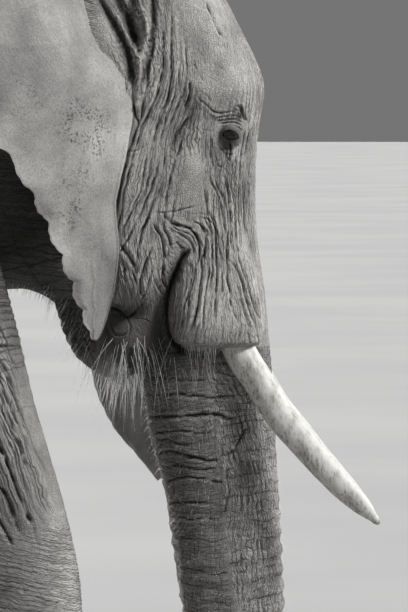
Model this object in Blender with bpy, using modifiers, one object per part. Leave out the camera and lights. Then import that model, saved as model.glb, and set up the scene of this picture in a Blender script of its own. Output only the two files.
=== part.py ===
"""A life-size African elephant cow, walking slowly with her head low, as a museum model.

The flesh is built whole, from rings of named sizes carried along the spine, the face, the trunk,
the legs and the tail. The rings are fused into one skin-smooth body, which thin cuts then part
into the pieces that a person would name. Ears, eyes, tusks and toenails are solids of their own.
Metres, +Z up. The elephant faces +X, and its right side faces -Y.
"""

import math

import bmesh
import bpy
import numpy as np
from mathutils import Matrix, Vector

# ---------------------------------------------------------------- driving dimensions
GAP = 0.0003  # clearance between neighbouring solids
VOXEL = 0.020  # grid of the fused flesh
BLEND_PASSES = 7  # smoothing passes that round off where two forms meet
FLESH_TRIANGLES = 3750
EAR_THICKNESS = 0.020
EYE = Vector((1.372, 0.235, 1.958))  # centre of the left eyeball
EYE_RADIUS = 0.021
RIGHT, LEFT = -1, 1

# ---------------------------------------------------------------- stations of the flesh
# x, spine height, belly height, half width
TORSO = [
    (0.74, 2.26, 1.66, 0.20),
    (0.62, 2.43, 1.44, 0.32),
    (0.42, 2.55, 1.30, 0.40),
    (0.18, 2.60, 1.18, 0.46),
    (-0.14, 2.57, 1.12, 0.52),
    (-0.46, 2.50, 1.07, 0.555),
    (-0.78, 2.50, 1.03, 0.565),
    (-1.04, 2.55, 1.05, 0.53),
    (-1.28, 2.50, 1.16, 0.46),
    (-1.45, 2.35, 1.38, 0.36),
    (-1.54, 2.14, 1.62, 0.23),
    (-1.57, 1.99, 1.78, 0.11),
]
# x, nape height, throat height, half width
NECK = [
    (0.40, 2.54, 1.42, 0.40),
    (0.62, 2.53, 1.50, 0.37),
    (0.80, 2.50, 1.54, 0.33),
    (0.93, 2.48, 1.50, 0.30),
    (1.06, 2.42, 1.58, 0.25),
]
# height, x at the back, x at the front, half width
HEAD = [
    (2.570, 0.94, 1.07, 0.07),
    (2.545, 0.88, 1.145, 0.16),
    (2.455, 0.83, 1.270, 0.240),
    (2.325, 0.81, 1.360, 0.280),
    (2.255, 0.80, 1.396, 0.292),
    (2.190, 0.80, 1.430, 0.300),
    (2.090, 0.82, 1.466, 0.300),
    (1.970, 0.86, 1.450, 0.286),
    (1.835, 0.91, 1.442, 0.278),
    (1.700, 0.97, 1.446, 0.256),
    (1.580, 1.03, 1.460, 0.230),
    (1.480, 1.08, 1.473, 0.206),
    (1.380, 1.12, 1.480, 0.190),
    (1.280, 1.14, 1.487, 0.182),
]
# x, height, half depth, half width
TRUNK = [
    (1.305, 1.36, 0.180, 0.190),
    (1.322, 1.18, 0.174, 0.178),
    (1.347, 1.02, 0.158, 0.164),
    (1.361, 0.88, 0.151, 0.153),
    (1.379, 0.70, 0.142, 0.142),
    (1.398, 0.53, 0.124, 0.124),
    (1.410, 0.38, 0.101, 0.104),
    (1.398, 0.255, 0.085, 0.088),
    (1.352, 0.165, 0.072, 0.076),
    (1.282, 0.125, 0.058, 0.066),
    (1.242, 0.128, 0.046, 0.056),
]
# x, height, half depth, half width
JAW = [
    (1.07, 1.72, 0.14, 0.13),
    (1.05, 1.60, 0.15, 0.145),
    (1.045, 1.50, 0.148, 0.130),
    (1.055, 1.42, 0.128, 0.105),
    (1.085, 1.365, 0.095, 0.078),
    (1.125, 1.320, 0.055, 0.050),
]
# x, offset from the middle, height, half depth, half width: the sleeve of flesh round each tusk's root
SHEATH = [
    (1.330, 0.120, 1.84, 0.060, 0.070),
    (1.328, 0.150, 1.70, 0.085, 0.085),
    (1.330, 0.168, 1.58, 0.112, 0.090),
    (1.334, 0.178, 1.48, 0.128, 0.088),
    (1.342, 0.182, 1.415, 0.120, 0.083),
    (1.352, 0.182, 1.390, 0.100, 0.076),
]
# height, x, offset from the middle, half depth, half width
FORELEG = [
    (-0.03, 0.000, 0.285, 0.185, 0.170),
    (0.05, 0.000, 0.285, 0.190, 0.178),
    (0.15, -0.006, 0.285, 0.172, 0.160),
    (0.30, -0.012, 0.288, 0.147, 0.138),
    (0.48, -0.010, 0.290, 0.141, 0.132),
    (0.66, 0.002, 0.295, 0.152, 0.140),
    (0.84, -0.020, 0.300, 0.164, 0.146),
    (1.05, -0.085, 0.310, 0.186, 0.160),
    (1.25, -0.168, 0.318, 0.220, 0.170),
    (1.45, -0.245, 0.318, 0.262, 0.175),
    (1.65, -0.330, 0.310, 0.300, 0.175),
    (1.95, -0.430, 0.285, 0.310, 0.170),
    (2.25, -0.480, 0.220, 0.250, 0.140),
]
HINDLEG = [
    (-0.03, 0.000, 0.255, 0.168, 0.145),
    (0.05, 0.000, 0.255, 0.172, 0.150),
    (0.15, -0.010, 0.255, 0.150, 0.136),
    (0.30, -0.022, 0.258, 0.124, 0.118),
    (0.50, -0.018, 0.262, 0.121, 0.114),
    (0.72, 0.020, 0.270, 0.142, 0.124),
    (0.94, 0.070, 0.280, 0.185, 0.145),
    (1.15, 0.095, 0.285, 0.240, 0.170),
    (1.40, 0.085, 0.285, 0.310, 0.200),
    (1.70, 0.040, 0.275, 0.370, 0.220),
    (2.00, 0.000, 0.250, 0.360, 0.200),
    (2.25, -0.010, 0.200, 0.250, 0.150),
]
# x, offset from the middle, height, half depth, half width
TAIL = [
    (-1.44, 0.00, 2.26, 0.095, 0.090),
    (-1.56, 0.00, 2.17, 0.075, 0.070),
    (-1.645, 0.003, 2.04, 0.055, 0.052),
    (-1.685, 0.008, 1.86, 0.042, 0.040),
    (-1.700, 0.012, 1.64, 0.034, 0.032),
    (-1.700, 0.016, 1.40, 0.028, 0.026),
    (-1.690, 0.020, 1.14, 0.022, 0.021),
]
TAIL_BRUSH = [
    (-1.690, 0.020, 1.16, 0.028, 0.016),
    (-1.687, 0.020, 1.06, 0.045, 0.020),
    (-1.684, 0.020, 0.92, 0.046, 0.022),
    (-1.682, 0.020, 0.80, 0.030, 0.016),
    (-1.680, 0.020, 0.74, 0.012, 0.010),
]
# x, offset from the middle, height, radius
TUSK = [
    (1.352, 0.165, 1.470, 0.0430),
    (1.407, 0.184, 1.361, 0.0430),
    (1.446, 0.193, 1.302, 0.0410),
    (1.501, 0.207, 1.214, 0.0405),
    (1.558, 0.218, 1.146, 0.0390),
    (1.616, 0.226, 1.079, 0.0360),
    (1.673, 0.230, 1.018, 0.0325),
    (1.717, 0.230, 0.975, 0.0265),
    (1.744, 0.229, 0.948, 0.0175),
    (1.771, 0.228, 0.919, 0.0035),
]
TUSK_DROOP = {RIGHT: 0.0, LEFT: 0.05}  # how much lower a tusk runs, per metre ahead of its root
# Muscle and bone that stand proud of the rings: centre and half sizes
SWELLINGS = [
    ((1.340, 0.176, 2.060), (0.098, 0.084, 0.095)),  # brow over the eye socket
    ((1.345, 0.186, 1.880), (0.070, 0.062, 0.090)),  # cheekbone under the eye
    ((1.115, 0.180, 1.690), (0.140, 0.105, 0.200)),  # chewing muscle
    ((1.120, 0.120, 1.415), (0.090, 0.070, 0.095)),  # corner of the lips
    ((0.960, 0.170, 2.200), (0.160, 0.110, 0.220)),  # seat of the ear
    ((0.330, 0.290, 2.000), (0.330, 0.150, 0.400)),  # shoulder blade
    ((-1.140, 0.190, 2.060), (0.370, 0.230, 0.420)),  # hip
]
# Hollows pressed into the flesh: centre and half sizes
HOLLOWS = [
    ((1.110, 0.395, 2.270), (0.090, 0.125, 0.190)),  # temple, between brow and ear
    ((1.372, 0.270, 1.958), (0.032, 0.040, 0.026)),  # eye socket
]
# Each foot: its side, and the x of its centre, which the stride carries ahead of or behind the shoulder or hip
FEET = {
    "front_right": (RIGHT, 0.850),
    "front_left": (LEFT, 0.120),
    "hind_right": (RIGHT, -1.440),
    "hind_left": (LEFT, -1.000),
}
SHOULDER_X, HIP_X = 0.34, -1.17
STANDING_HEIGHT = 1.95  # where a leg no longer follows its foot
NAIL_ANGLES = {"front": (-62, -22, 22, 62), "hind": (-50, 0, 50)}
NAIL_SIZE = (0.015, 0.042, 0.038)  # half thickness, half width, half height
# Edges of each ear laid flat against the head, from its top to the tip of its lobe: x, height.
# The right ear lies back. The left one is swung out and forward, so its lobe hangs lower.
EAR_FRONT_RIGHT = [
    (0.900, 2.500),
    (0.975, 2.322),
    (1.043, 2.190),
    (1.096, 2.128),
    (1.113, 2.031),
    (1.098, 1.930),
    (1.078, 1.831),
    (1.067, 1.772),
    (1.074, 1.660),
    (1.064, 1.564),
    (1.040, 1.467),
    (1.018, 1.416),
]
EAR_BACK_RIGHT = [
    (0.520, 2.590),
    (0.300, 2.530),
    (0.235, 2.370),
    (0.330, 2.180),
    (0.530, 2.050),
    (0.742, 1.955),
    (0.838, 1.832),
    (0.888, 1.742),
    (0.926, 1.642),
    (0.966, 1.555),
    (0.992, 1.466),
    (1.004, 1.418),
]
EAR_FRONT_LEFT = [
    (0.915, 2.420),
    (0.980, 2.290),
    (1.040, 2.170),
    (1.085, 2.080),
    (1.105, 1.970),
    (1.105, 1.840),
    (1.115, 1.700),
    (1.140, 1.560),
    (1.165, 1.420),
    (1.190, 1.280),
    (1.205, 1.140),
    (1.195, 1.000),
]
EAR_BACK_LEFT = [
    (0.530, 2.500),
    (0.320, 2.450),
    (0.240, 2.310),
    (0.290, 2.130),
    (0.400, 1.970),
    (0.540, 1.820),
    (0.680, 1.680),
    (0.790, 1.555),
    (0.870, 1.425),
    (0.905, 1.270),
    (0.985, 1.115),
    (1.160, 0.985),
]
EAR_TOP_RISE = 0.07
EAR_SCALLOP = 0.010
# height, and how far the ear's root stands from the middle of the head there
EAR_ROOT = [(1.90, 0.290), (2.05, 0.280), (2.30, 0.272), (2.42, 0.245), (2.52, 0.200)]
EAR_PLANE = 0.335  # how far the hanging part of the front edge stands from the middle
# side, front edge, back edge and how far the ear is swung outwards, in degrees
EARS = {
    "ear_right": (RIGHT, EAR_FRONT_RIGHT, EAR_BACK_RIGHT, 13),
    "ear_left": (LEFT, EAR_FRONT_LEFT, EAR_BACK_LEFT, 46),
}

# ---------------------------------------------------------------- materials: colour, roughness
SKIN_GREY = (0.235, 0.225, 0.215)
MATERIALS = {
    "skin": (SKIN_GREY, 0.85),
    "ear_skin": ((0.300, 0.288, 0.275), 0.80),
    "ivory": ((0.800, 0.770, 0.700), 0.42),
    "nail": ((0.420, 0.395, 0.360), 0.55),
    "eye": ((0.030, 0.022, 0.018), 0.12),
    "hair": ((0.060, 0.055, 0.050), 0.60),
}


def clear_scene():
    for obj in list(bpy.data.objects):
        bpy.data.objects.remove(obj, do_unlink=True)


def make_material(name):
    colour, roughness = MATERIALS[name]
    material = bpy.data.materials.new(name)
    material.use_nodes = True
    shader = material.node_tree.nodes["Principled BSDF"]
    shader.inputs["Base Color"].default_value = (*colour, 1)
    shader.inputs["Roughness"].default_value = roughness
    material.diffuse_color = (*colour, 1)
    return material


def new_collection(name, hidden=False):
    collection = bpy.data.collections.new(name)
    bpy.context.scene.collection.children.link(collection)
    collection.hide_render = hidden
    return collection


def add_object(name, mesh, collection):
    obj = bpy.data.objects.new(name, mesh)
    collection.objects.link(obj)
    return obj


def add_cutter(name, mesh):
    cutter = add_object(name, mesh, cutters)
    cutter.hide_render = True
    cutter.display_type = "WIRE"
    return cutter


# ---------------------------------------------------------------- lofted forms
def through(stations, count):
    """Rows on a smooth curve through the stations (Catmull-Rom), evenly spaced by station."""
    rows = np.array(stations, float)
    ends = np.vstack([2 * rows[0] - rows[1], rows, 2 * rows[-1] - rows[-2]])
    place = np.linspace(0, len(rows) - 1, count)
    first = np.minimum(place.astype(int), len(rows) - 2)
    t = (place - first)[:, None]
    a, b, c, d = (ends[first + k] for k in range(4))
    return 0.5 * (2 * b + (c - a) * t + (2 * a - 5 * b + 4 * c - d) * t**2 + (3 * b - a - 3 * c + d) * t**3)


def unit(vectors):
    return vectors / np.linalg.norm(vectors, axis=-1, keepdims=True)


def mesh_of_rings(name, rings):
    """A closed mesh through an array of rings, (ring, point, xyz), with flat end caps."""
    count, sides = rings.shape[:2]
    bm = bmesh.new()
    grid = [[bm.verts.new(point) for point in ring] for ring in rings]
    for lower, upper in zip(grid, grid[1:]):
        for k in range(sides):
            nxt = (k + 1) % sides
            bm.faces.new((lower[k], lower[nxt], upper[nxt], upper[k]))
    bm.faces.new(grid[0][::-1])
    bm.faces.new(grid[-1])
    bmesh.ops.recalc_face_normals(bm, faces=bm.faces)
    mesh = bpy.data.meshes.new(name)
    bm.to_mesh(mesh)
    bm.free()
    return mesh


def loft(name, centres, half_up, half_across, normal=None, sides=28, power=2.3, narrow=0.0):
    """Superellipse rings round the centres. Each ring stands square to the path, or to normal if it is given.
    Its up direction lies in the XZ plane, and narrow makes it slimmer towards up."""
    centres = np.array(centres, float)
    if normal is None:
        along = unit(np.gradient(centres, axis=0))
    else:
        along = np.tile(np.array(normal, float), (len(centres), 1))
    side_axis = np.array((0.0, 1.0, 0.0))
    across = unit(side_axis - (along @ side_axis)[:, None] * along)
    up = np.cross(across, along)
    angle = np.linspace(0, 2 * math.pi, sides, endpoint=False)
    c = np.sign(np.cos(angle)) * np.abs(np.cos(angle)) ** (2 / power)
    s = np.sign(np.sin(angle)) * np.abs(np.sin(angle)) ** (2 / power)
    width = np.outer(half_across, c * (1 - narrow * s))
    height = np.outer(half_up, s)
    rings = centres[:, None] + width[..., None] * across[:, None] + height[..., None] * up[:, None]
    return mesh_of_rings(name, rings)


def torso_form():
    x, top, bottom, width = through(TORSO, 34).T
    centres = np.column_stack([x, 0 * x, (top + bottom) / 2])
    return loft("torso_form", centres, (top - bottom) / 2, width, normal=(-1, 0, 0), power=2.2, narrow=0.16)


def neck_form():
    x, top, bottom, width = through(NECK, 16).T
    centres = np.column_stack([x, 0 * x, (top + bottom) / 2])
    return loft("neck_form", centres, (top - bottom) / 2, width, normal=(-1, 0, 0), power=2.3, narrow=0.10)


def head_form():
    z, back, front, width = through(HEAD, 34).T
    centres = np.column_stack([(back + front) / 2, 0 * z, z])
    return loft("head_form", centres, (front - back) / 2, width, normal=(0, 0, 1), power=3.0, narrow=0.10)


def trunk_form():
    x, z, depth, width = through(TRUNK, 44).T
    return loft("trunk_form", np.column_stack([x, 0 * x, z]), depth, width, power=2.4, narrow=-0.08)


def jaw_form():
    x, z, depth, width = through(JAW, 16).T
    return loft("jaw_form", np.column_stack([x, 0 * x, z]), depth, width, power=2.2)


def sheath_form(side):
    x, y, z, depth, width = through(SHEATH, 16).T
    return loft("sheath_form", np.column_stack([x, side * y, z]), depth, width, normal=(0, 0, -1), power=2.6)


def leg_form(foot):
    """A leg whose foot has been carried along by the stride, while its shoulder or hip stays in place."""
    side, foot_x = FEET[foot]
    front = foot.startswith("front")
    z, x, y, depth, width = through(FORELEG if front else HINDLEG, 34).T
    top_x = SHOULDER_X if front else HIP_X
    rest_top = np.interp(STANDING_HEIGHT, z, x)
    share = np.clip(z / STANDING_HEIGHT, 0, 1)
    lean = (top_x - rest_top - foot_x) * share ** 1.15
    centres = np.column_stack([foot_x + x + lean, side * y, z])
    return loft("leg_form", centres, depth, width, normal=(0, 0, 1), power=2.2)


def tail_form():
    x, y, z, depth, width = through(TAIL, 20).T
    return loft("tail_form", np.column_stack([x, y, z]), depth, width, sides=14, power=2.0)


def ball(name, centre, size, segments=20, rings=12):
    bm = bmesh.new()
    bmesh.ops.create_uvsphere(bm, u_segments=segments, v_segments=rings, radius=1)
    bmesh.ops.transform(bm, matrix=Matrix.Translation(centre) @ Matrix.Diagonal((*size, 1)), verts=bm.verts)
    mesh = bpy.data.meshes.new(name)
    bm.to_mesh(mesh)
    bm.free()
    return mesh


def rounded_forms(table):
    """Rounded forms from a table of centres and half sizes, on both sides."""
    return [
        ball("rounded", (x, side * y, z), size) for (x, y, z), size in table for side in (RIGHT, LEFT)
    ]


# ---------------------------------------------------------------- fusing and cutting
def join_meshes(name, meshes):
    bm = bmesh.new()
    for mesh in meshes:
        bm.from_mesh(mesh)
        bpy.data.meshes.remove(mesh)
    joined = bpy.data.meshes.new(name)
    bm.to_mesh(joined)
    bm.free()
    return joined


def evaluated_mesh(obj):
    """The object's mesh with its modifiers applied, as a new mesh. The object is removed."""
    bpy.context.view_layer.update()
    graph = bpy.context.evaluated_depsgraph_get()
    mesh = bpy.data.meshes.new_from_object(obj.evaluated_get(graph), depsgraph=graph)
    mesh.transform(obj.matrix_world)
    bpy.data.objects.remove(obj)
    return mesh


def fuse(name, meshes, hollows, triangles):
    """One smooth closed surface round overlapping forms, less the hollows, thinned to a number of triangles."""
    obj = add_object(name, join_meshes(name, meshes), model)
    for step in ("fuse", "press", "refuse"):
        if step == "press":
            press = obj.modifiers.new(step, "BOOLEAN")
            press.operation = "DIFFERENCE"
            press.object = add_cutter("hollows", join_meshes("hollows", hollows))
        else:
            remesh = obj.modifiers.new(step, "REMESH")
            remesh.mode = "VOXEL"
            remesh.voxel_size = VOXEL
    smooth = obj.modifiers.new("blend", "SMOOTH")
    smooth.factor = 0.5
    smooth.iterations = BLEND_PASSES
    dense = evaluated_mesh(obj)
    dense.calc_loop_triangles()
    obj = add_object(name, dense, model)
    thin = obj.modifiers.new("thin", "DECIMATE")
    thin.ratio = triangles / len(dense.loop_triangles)
    return evaluated_mesh(obj)


def boolean(mesh, cutter, operation):
    obj = add_object("cut_work", mesh, model)
    cut = obj.modifiers.new("cut", "BOOLEAN")
    cut.operation = operation
    cut.object = cutter
    return evaluated_mesh(obj)


def grown(mesh, distance):
    """A copy of the mesh with every point moved out along its normal."""
    copy = mesh.copy()
    for vertex, normal in zip(copy.vertices, [n.vector.copy() for n in mesh.vertex_normals]):
        vertex.co += normal * distance
    return copy


def box_mesh(low, high, grow=0.0, tilt=0.0, pivot=(0, 0, 0)):
    """A box between two corners, enlarged by grow and tilted in degrees about the Y axis through pivot."""
    low, high = Vector(low) - Vector((grow,) * 3), Vector(high) + Vector((grow,) * 3)
    bm = bmesh.new()
    bmesh.ops.create_cube(bm, size=1)
    place = Matrix.Translation((low + high) / 2) @ Matrix.Diagonal((*(high - low), 1))
    turn = Matrix.Translation(pivot) @ Matrix.Rotation(math.radians(tilt), 4, "Y") @ Matrix.Translation(-Vector(pivot))
    bmesh.ops.transform(bm, matrix=turn @ place, verts=bm.verts)
    mesh = bpy.data.meshes.new("region")
    bm.to_mesh(mesh)
    bm.free()
    return mesh


def part_off(flesh, name, low, high, tilt=0.0, pivot=(0, 0, 0)):
    """Parts what lies in a box from the flesh, leaving the gap between them. Returns the piece and the rest."""
    inner = add_cutter(name + "_region", box_mesh(low, high, 0, tilt, pivot))
    outer = add_cutter(name + "_region_with_gap", box_mesh(low, high, GAP, tilt, pivot))
    piece = boolean(flesh.copy(), inner, "INTERSECT")
    rest = boolean(flesh, outer, "DIFFERENCE")
    piece.name = name
    return piece, rest


def finish_node(name, mesh, material):
    mesh.name = name
    mesh.materials.clear()
    mesh.materials.append(materials[material])
    mesh.shade_smooth()
    mesh.set_sharp_from_angle(angle=math.radians(40))
    return add_object(name, mesh, model)


# ---------------------------------------------------------------- ears, eyes, tusks and nails
def ear_mesh(side, front_edge, back_edge, swing):
    """A sheet between the ear's front and back edges, thickened. u runs back from the front edge and v down.
    Its root follows the head, the rest stands off it and swings outwards."""
    rows, columns = 16, 7
    v = np.linspace(0, 1, rows)
    u = np.linspace(0, 1, columns)
    front, back = through(front_edge, rows), through(back_edge, rows)
    root_y = np.interp(front[:, 1], *zip(*EAR_ROOT))
    back[:, 1] -= EAR_SCALLOP * np.abs(np.sin(v * 9 * math.pi)) * np.clip(3 * v, 0, 1) * np.clip(8 - 8 * v, 0, 1)
    flat = front[:, None] * (1 - u[:, None]) + back[:, None] * u[:, None]
    flat[:, :, 1] += EAR_TOP_RISE * np.outer(np.clip(1 - 4 * v, 0, 1), np.sin(math.pi * u))
    behind = front[:, None, 0] - flat[:, :, 0]
    hanging = np.clip((v - 0.42) / 0.12, 0, 1)[:, None]
    off_root = np.clip(behind / 0.16, 0, 1) * (1 - hanging) + hanging
    stand_off = root_y[:, None] * (1 - off_root) + EAR_PLANE * off_root
    cup = 0.035 * np.sin(math.pi * np.clip(behind / 0.75, 0, 1))
    turn = math.radians(swing)
    x = front[:, None, 0] - behind * math.cos(turn)
    y = stand_off + behind * math.sin(turn) + cup
    points = np.stack([x, side * y, flat[:, :, 1]], axis=-1)
    out = unit(np.cross(np.gradient(points, axis=1), np.gradient(points, axis=0)))
    rim = np.minimum(1, np.minimum(1.2 - u, 1.1 - 0.4 * v[:, None]))[..., None]
    half = out * EAR_THICKNESS / 2 * rim
    rings = np.concatenate([points + half, (points - half)[:, ::-1]], axis=1)
    return mesh_of_rings("ear", rings)


def tusk_mesh(side):
    x, y, z, radius = through(TUSK, 13).T
    z = z - TUSK_DROOP[side] * (x - x[0])
    return loft("tusk", np.column_stack([x, side * y, z]), radius, radius, sides=10, power=2.0)


def brush_mesh():
    x, y, z, depth, width = through(TAIL_BRUSH, 7).T
    return loft("brush", np.column_stack([x, y, z]), depth, width, sides=8, power=2.0)


def nail_meshes(foot):
    """Toenails round the front of a foot: name and mesh of each."""
    side, foot_x = FEET[foot]
    kind = foot.split("_")[0]
    _, _, offset, depth, width = (FORELEG if kind == "front" else HINDLEG)[1]
    for number, degrees in enumerate(NAIL_ANGLES[kind], start=1):
        turn = math.radians(degrees)
        place = Vector((foot_x + depth * math.cos(turn), side * offset + width * math.sin(turn), 0.050))
        bm = bmesh.new()
        bmesh.ops.create_uvsphere(bm, u_segments=6, v_segments=4, radius=1)
        lean = Matrix.Rotation(math.radians(-14), 4, "Y")
        bmesh.ops.transform(
            bm,
            matrix=Matrix.Translation(place) @ Matrix.Rotation(turn, 4, "Z") @ lean @ Matrix.Diagonal((*NAIL_SIZE, 1)),
            verts=bm.verts,
        )
        mesh = bpy.data.meshes.new("nail")
        bm.to_mesh(mesh)
        bm.free()
        yield f"nail_{foot}_{number}", mesh


def socket(flesh, mesh):
    """Cuts the seat of a solid that stands in the flesh, a gap wider than the solid."""
    cutter = add_cutter("seat", grown(mesh, GAP * 1.5))
    return boolean(flesh, cutter, "DIFFERENCE")


# ---------------------------------------------------------------- the elephant
clear_scene()
model = new_collection("elephant")
cutters = new_collection("cutters", hidden=True)
materials = {name: make_material(name) for name in MATERIALS}

forms = [torso_form(), neck_form(), head_form(), trunk_form(), jaw_form(), tail_form()]
forms += [sheath_form(side) for side in (RIGHT, LEFT)]
forms += [leg_form(foot) for foot in FEET]
forms += rounded_forms(SWELLINGS)
flesh = fuse("flesh", forms, rounded_forms(HOLLOWS), FLESH_TRIANGLES)
floor = add_cutter("floor", box_mesh((-3, -2, -0.5), (3, 2, 0.0)))
flesh = boolean(flesh, floor, "DIFFERENCE")

small = {}
for side, word in ((RIGHT, "right"), (LEFT, "left")):
    small[f"eye_{word}"] = (ball("eye", (EYE.x, side * EYE.y, EYE.z), (EYE_RADIUS,) * 3, 10, 6), "eye")
    small[f"tusk_{word}"] = (tusk_mesh(side), "ivory")
small["tail_brush"] = (brush_mesh(), "hair")
for mesh, _ in small.values():
    flesh = socket(flesh, mesh)

skin_cutter = add_cutter("skin_with_gap", grown(flesh, GAP * 1.5))
for name, shape in EARS.items():
    small[name] = (boolean(ear_mesh(*shape), skin_cutter, "DIFFERENCE"), "ear_skin")
for foot in FEET:
    for name, mesh in nail_meshes(foot):
        small[name] = (boolean(mesh, skin_cutter, "DIFFERENCE"), "nail")

# name, low corner, high corner, tilt in degrees about the Y axis and the point it turns about
REGIONS = [
    ("trunk_tip", (1.12, -0.4, -0.1), (1.8, 0.4, 0.42), 0, (0, 0, 0)),
    ("trunk_middle", (1.12, -0.4, 0.2), (1.8, 0.4, 0.84), 0, (0, 0, 0)),
    ("trunk_upper", (1.08, -0.4, 0.5), (1.8, 0.4, 1.255), 0, (0, 0, 0)),
    ("lower_jaw", (0.865, -0.25, 1.24), (1.155, 0.25, 1.475), 0, (0, 0, 0)),
    ("head", (0.91, -0.7, 1.15), (2.0, 0.7, 3.0), 0, (0, 0, 0)),
    ("foot_front_right", (0.55, -0.62, -0.1), (1.15, -0.02, 0.36), 0, (0, 0, 0)),
    ("foot_front_left", (-0.18, 0.02, -0.1), (0.42, 0.62, 0.36), 0, (0, 0, 0)),
    ("foot_hind_right", (-1.74, -0.62, -0.1), (-1.14, -0.02, 0.36), 0, (0, 0, 0)),
    ("foot_hind_left", (-1.30, 0.02, -0.1), (-0.70, 0.62, 0.36), 0, (0, 0, 0)),
    ("leg_front_right", (0.28, -0.75, 0.2), (1.20, -0.01, 1.16), 0, (0, 0, 0)),
    ("leg_front_left", (-0.12, 0.01, 0.2), (0.70, 0.75, 1.06), 0, (0, 0, 0)),
    ("leg_hind_right", (-1.85, -0.75, 0.2), (-0.85, -0.01, 1.02), 0, (0, 0, 0)),
    ("leg_hind_left", (-1.48, 0.01, 0.2), (-0.60, 0.75, 1.00), 0, (0, 0, 0)),
    ("tail", (-1.95, -0.075, 0.6), (-1.605, 0.085, 2.08), 0, (0, 0, 0)),
    ("neck", (0.64, -0.7, 1.4), (1.5, 0.7, 3.0), -16, (0.64, 0, 2.0)),
    ("chest", (-0.45, -1.0, 0.5), (1.5, 1.0, 3.0), 0, (0, 0, 0)),
]
nodes = {}
for name, low, high, tilt, pivot in REGIONS:
    nodes[name], flesh = part_off(flesh, name, low, high, tilt, pivot)
nodes["rump"] = flesh

for name, mesh in nodes.items():
    finish_node(name, mesh, "skin")
for name, (mesh, material) in small.items():
    finish_node(name, mesh, material)


def centre_on_floor():
    """Moves the whole model so that the origin lies on the floor, in the middle of its box."""
    corners = np.array([obj.matrix_world @ Vector(corner) for obj in model.objects for corner in obj.bound_box])
    low, high = corners.min(0), corners.max(0)
    shift = Matrix.Translation((-(low[0] + high[0]) / 2, -(low[1] + high[1]) / 2, 0))
    for obj in model.objects:
        obj.data.transform(shift)


bpy.context.view_layer.update()
centre_on_floor()
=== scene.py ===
# %% [markdown]
# # A life-size African elephant cow
# She walks slowly with her head low, one ear laid back and the other spread. The skin is one closed
# surface over the whole animal, and the ears, eyes, tusks, toenails and hair are pieces of their own.
# The fixed solids come first, because every piece stands where they do.
# %% Load the fixed solids
import math

import bmesh
import bpy
import numpy as np
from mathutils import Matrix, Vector


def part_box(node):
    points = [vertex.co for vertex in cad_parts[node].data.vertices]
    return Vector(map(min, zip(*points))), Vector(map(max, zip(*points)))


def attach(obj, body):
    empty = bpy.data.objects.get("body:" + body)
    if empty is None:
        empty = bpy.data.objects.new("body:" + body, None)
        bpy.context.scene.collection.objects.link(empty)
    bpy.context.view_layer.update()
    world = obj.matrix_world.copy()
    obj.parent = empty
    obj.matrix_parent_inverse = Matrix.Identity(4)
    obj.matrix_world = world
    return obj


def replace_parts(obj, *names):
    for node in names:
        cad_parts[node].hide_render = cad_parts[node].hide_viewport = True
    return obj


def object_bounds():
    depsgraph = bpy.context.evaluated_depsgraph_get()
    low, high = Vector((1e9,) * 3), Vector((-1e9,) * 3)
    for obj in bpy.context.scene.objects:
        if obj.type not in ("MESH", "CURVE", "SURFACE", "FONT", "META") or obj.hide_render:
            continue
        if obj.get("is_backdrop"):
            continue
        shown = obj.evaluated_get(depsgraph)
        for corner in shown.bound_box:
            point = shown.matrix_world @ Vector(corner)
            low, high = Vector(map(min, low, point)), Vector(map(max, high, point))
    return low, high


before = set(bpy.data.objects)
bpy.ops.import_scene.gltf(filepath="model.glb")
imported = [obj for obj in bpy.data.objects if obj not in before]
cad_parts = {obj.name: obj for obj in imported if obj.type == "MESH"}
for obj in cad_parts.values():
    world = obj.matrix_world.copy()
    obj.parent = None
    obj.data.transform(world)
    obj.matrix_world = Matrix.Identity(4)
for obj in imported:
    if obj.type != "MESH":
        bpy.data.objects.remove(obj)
cad_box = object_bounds()
RIGHT, LEFT = -1, 1
EYE = np.array((1.372, 0.235, 1.958))  # centre of the left eyeball, before the model is centred
SHIFT = np.mean(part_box("eye_left"), axis=0) - EYE
print("the model stands", SHIFT.round(4), "from where its measures are given")

# %% [markdown]
# ## Measures of the body
# A modeller's armature is a row of ribs. Each table below is such a row: where a rib stands, and how
# deep and how wide it is. The same rows made the solids, so the skin lies where they do.
# %% The body's ribs
# x, spine height, belly height, half width
TORSO = [
    (0.74, 2.26, 1.66, 0.20), (0.62, 2.43, 1.44, 0.32), (0.42, 2.55, 1.30, 0.40),
    (0.18, 2.60, 1.18, 0.46), (-0.14, 2.57, 1.12, 0.52), (-0.46, 2.50, 1.07, 0.555),
    (-0.78, 2.50, 1.03, 0.565), (-1.04, 2.55, 1.05, 0.53), (-1.28, 2.50, 1.16, 0.46),
    (-1.45, 2.35, 1.38, 0.36), (-1.54, 2.14, 1.62, 0.23), (-1.57, 1.99, 1.78, 0.11),
]
# x, nape height, throat height, half width
NECK = [
    (0.40, 2.54, 1.42, 0.40), (0.62, 2.53, 1.50, 0.37), (0.80, 2.50, 1.54, 0.33),
    (0.93, 2.48, 1.50, 0.30), (1.06, 2.42, 1.58, 0.25),
]
# height, x at the back, x at the front, half width
HEAD = [
    (2.570, 0.94, 1.07, 0.07), (2.545, 0.88, 1.145, 0.16), (2.455, 0.83, 1.270, 0.240),
    (2.325, 0.81, 1.360, 0.280), (2.255, 0.80, 1.396, 0.292), (2.190, 0.80, 1.430, 0.300),
    (2.090, 0.82, 1.466, 0.300), (1.970, 0.86, 1.450, 0.286), (1.835, 0.91, 1.442, 0.278),
    (1.700, 0.97, 1.446, 0.256), (1.580, 1.03, 1.460, 0.230), (1.480, 1.08, 1.473, 0.206),
    (1.380, 1.12, 1.480, 0.190), (1.280, 1.14, 1.487, 0.182),
]
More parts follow.
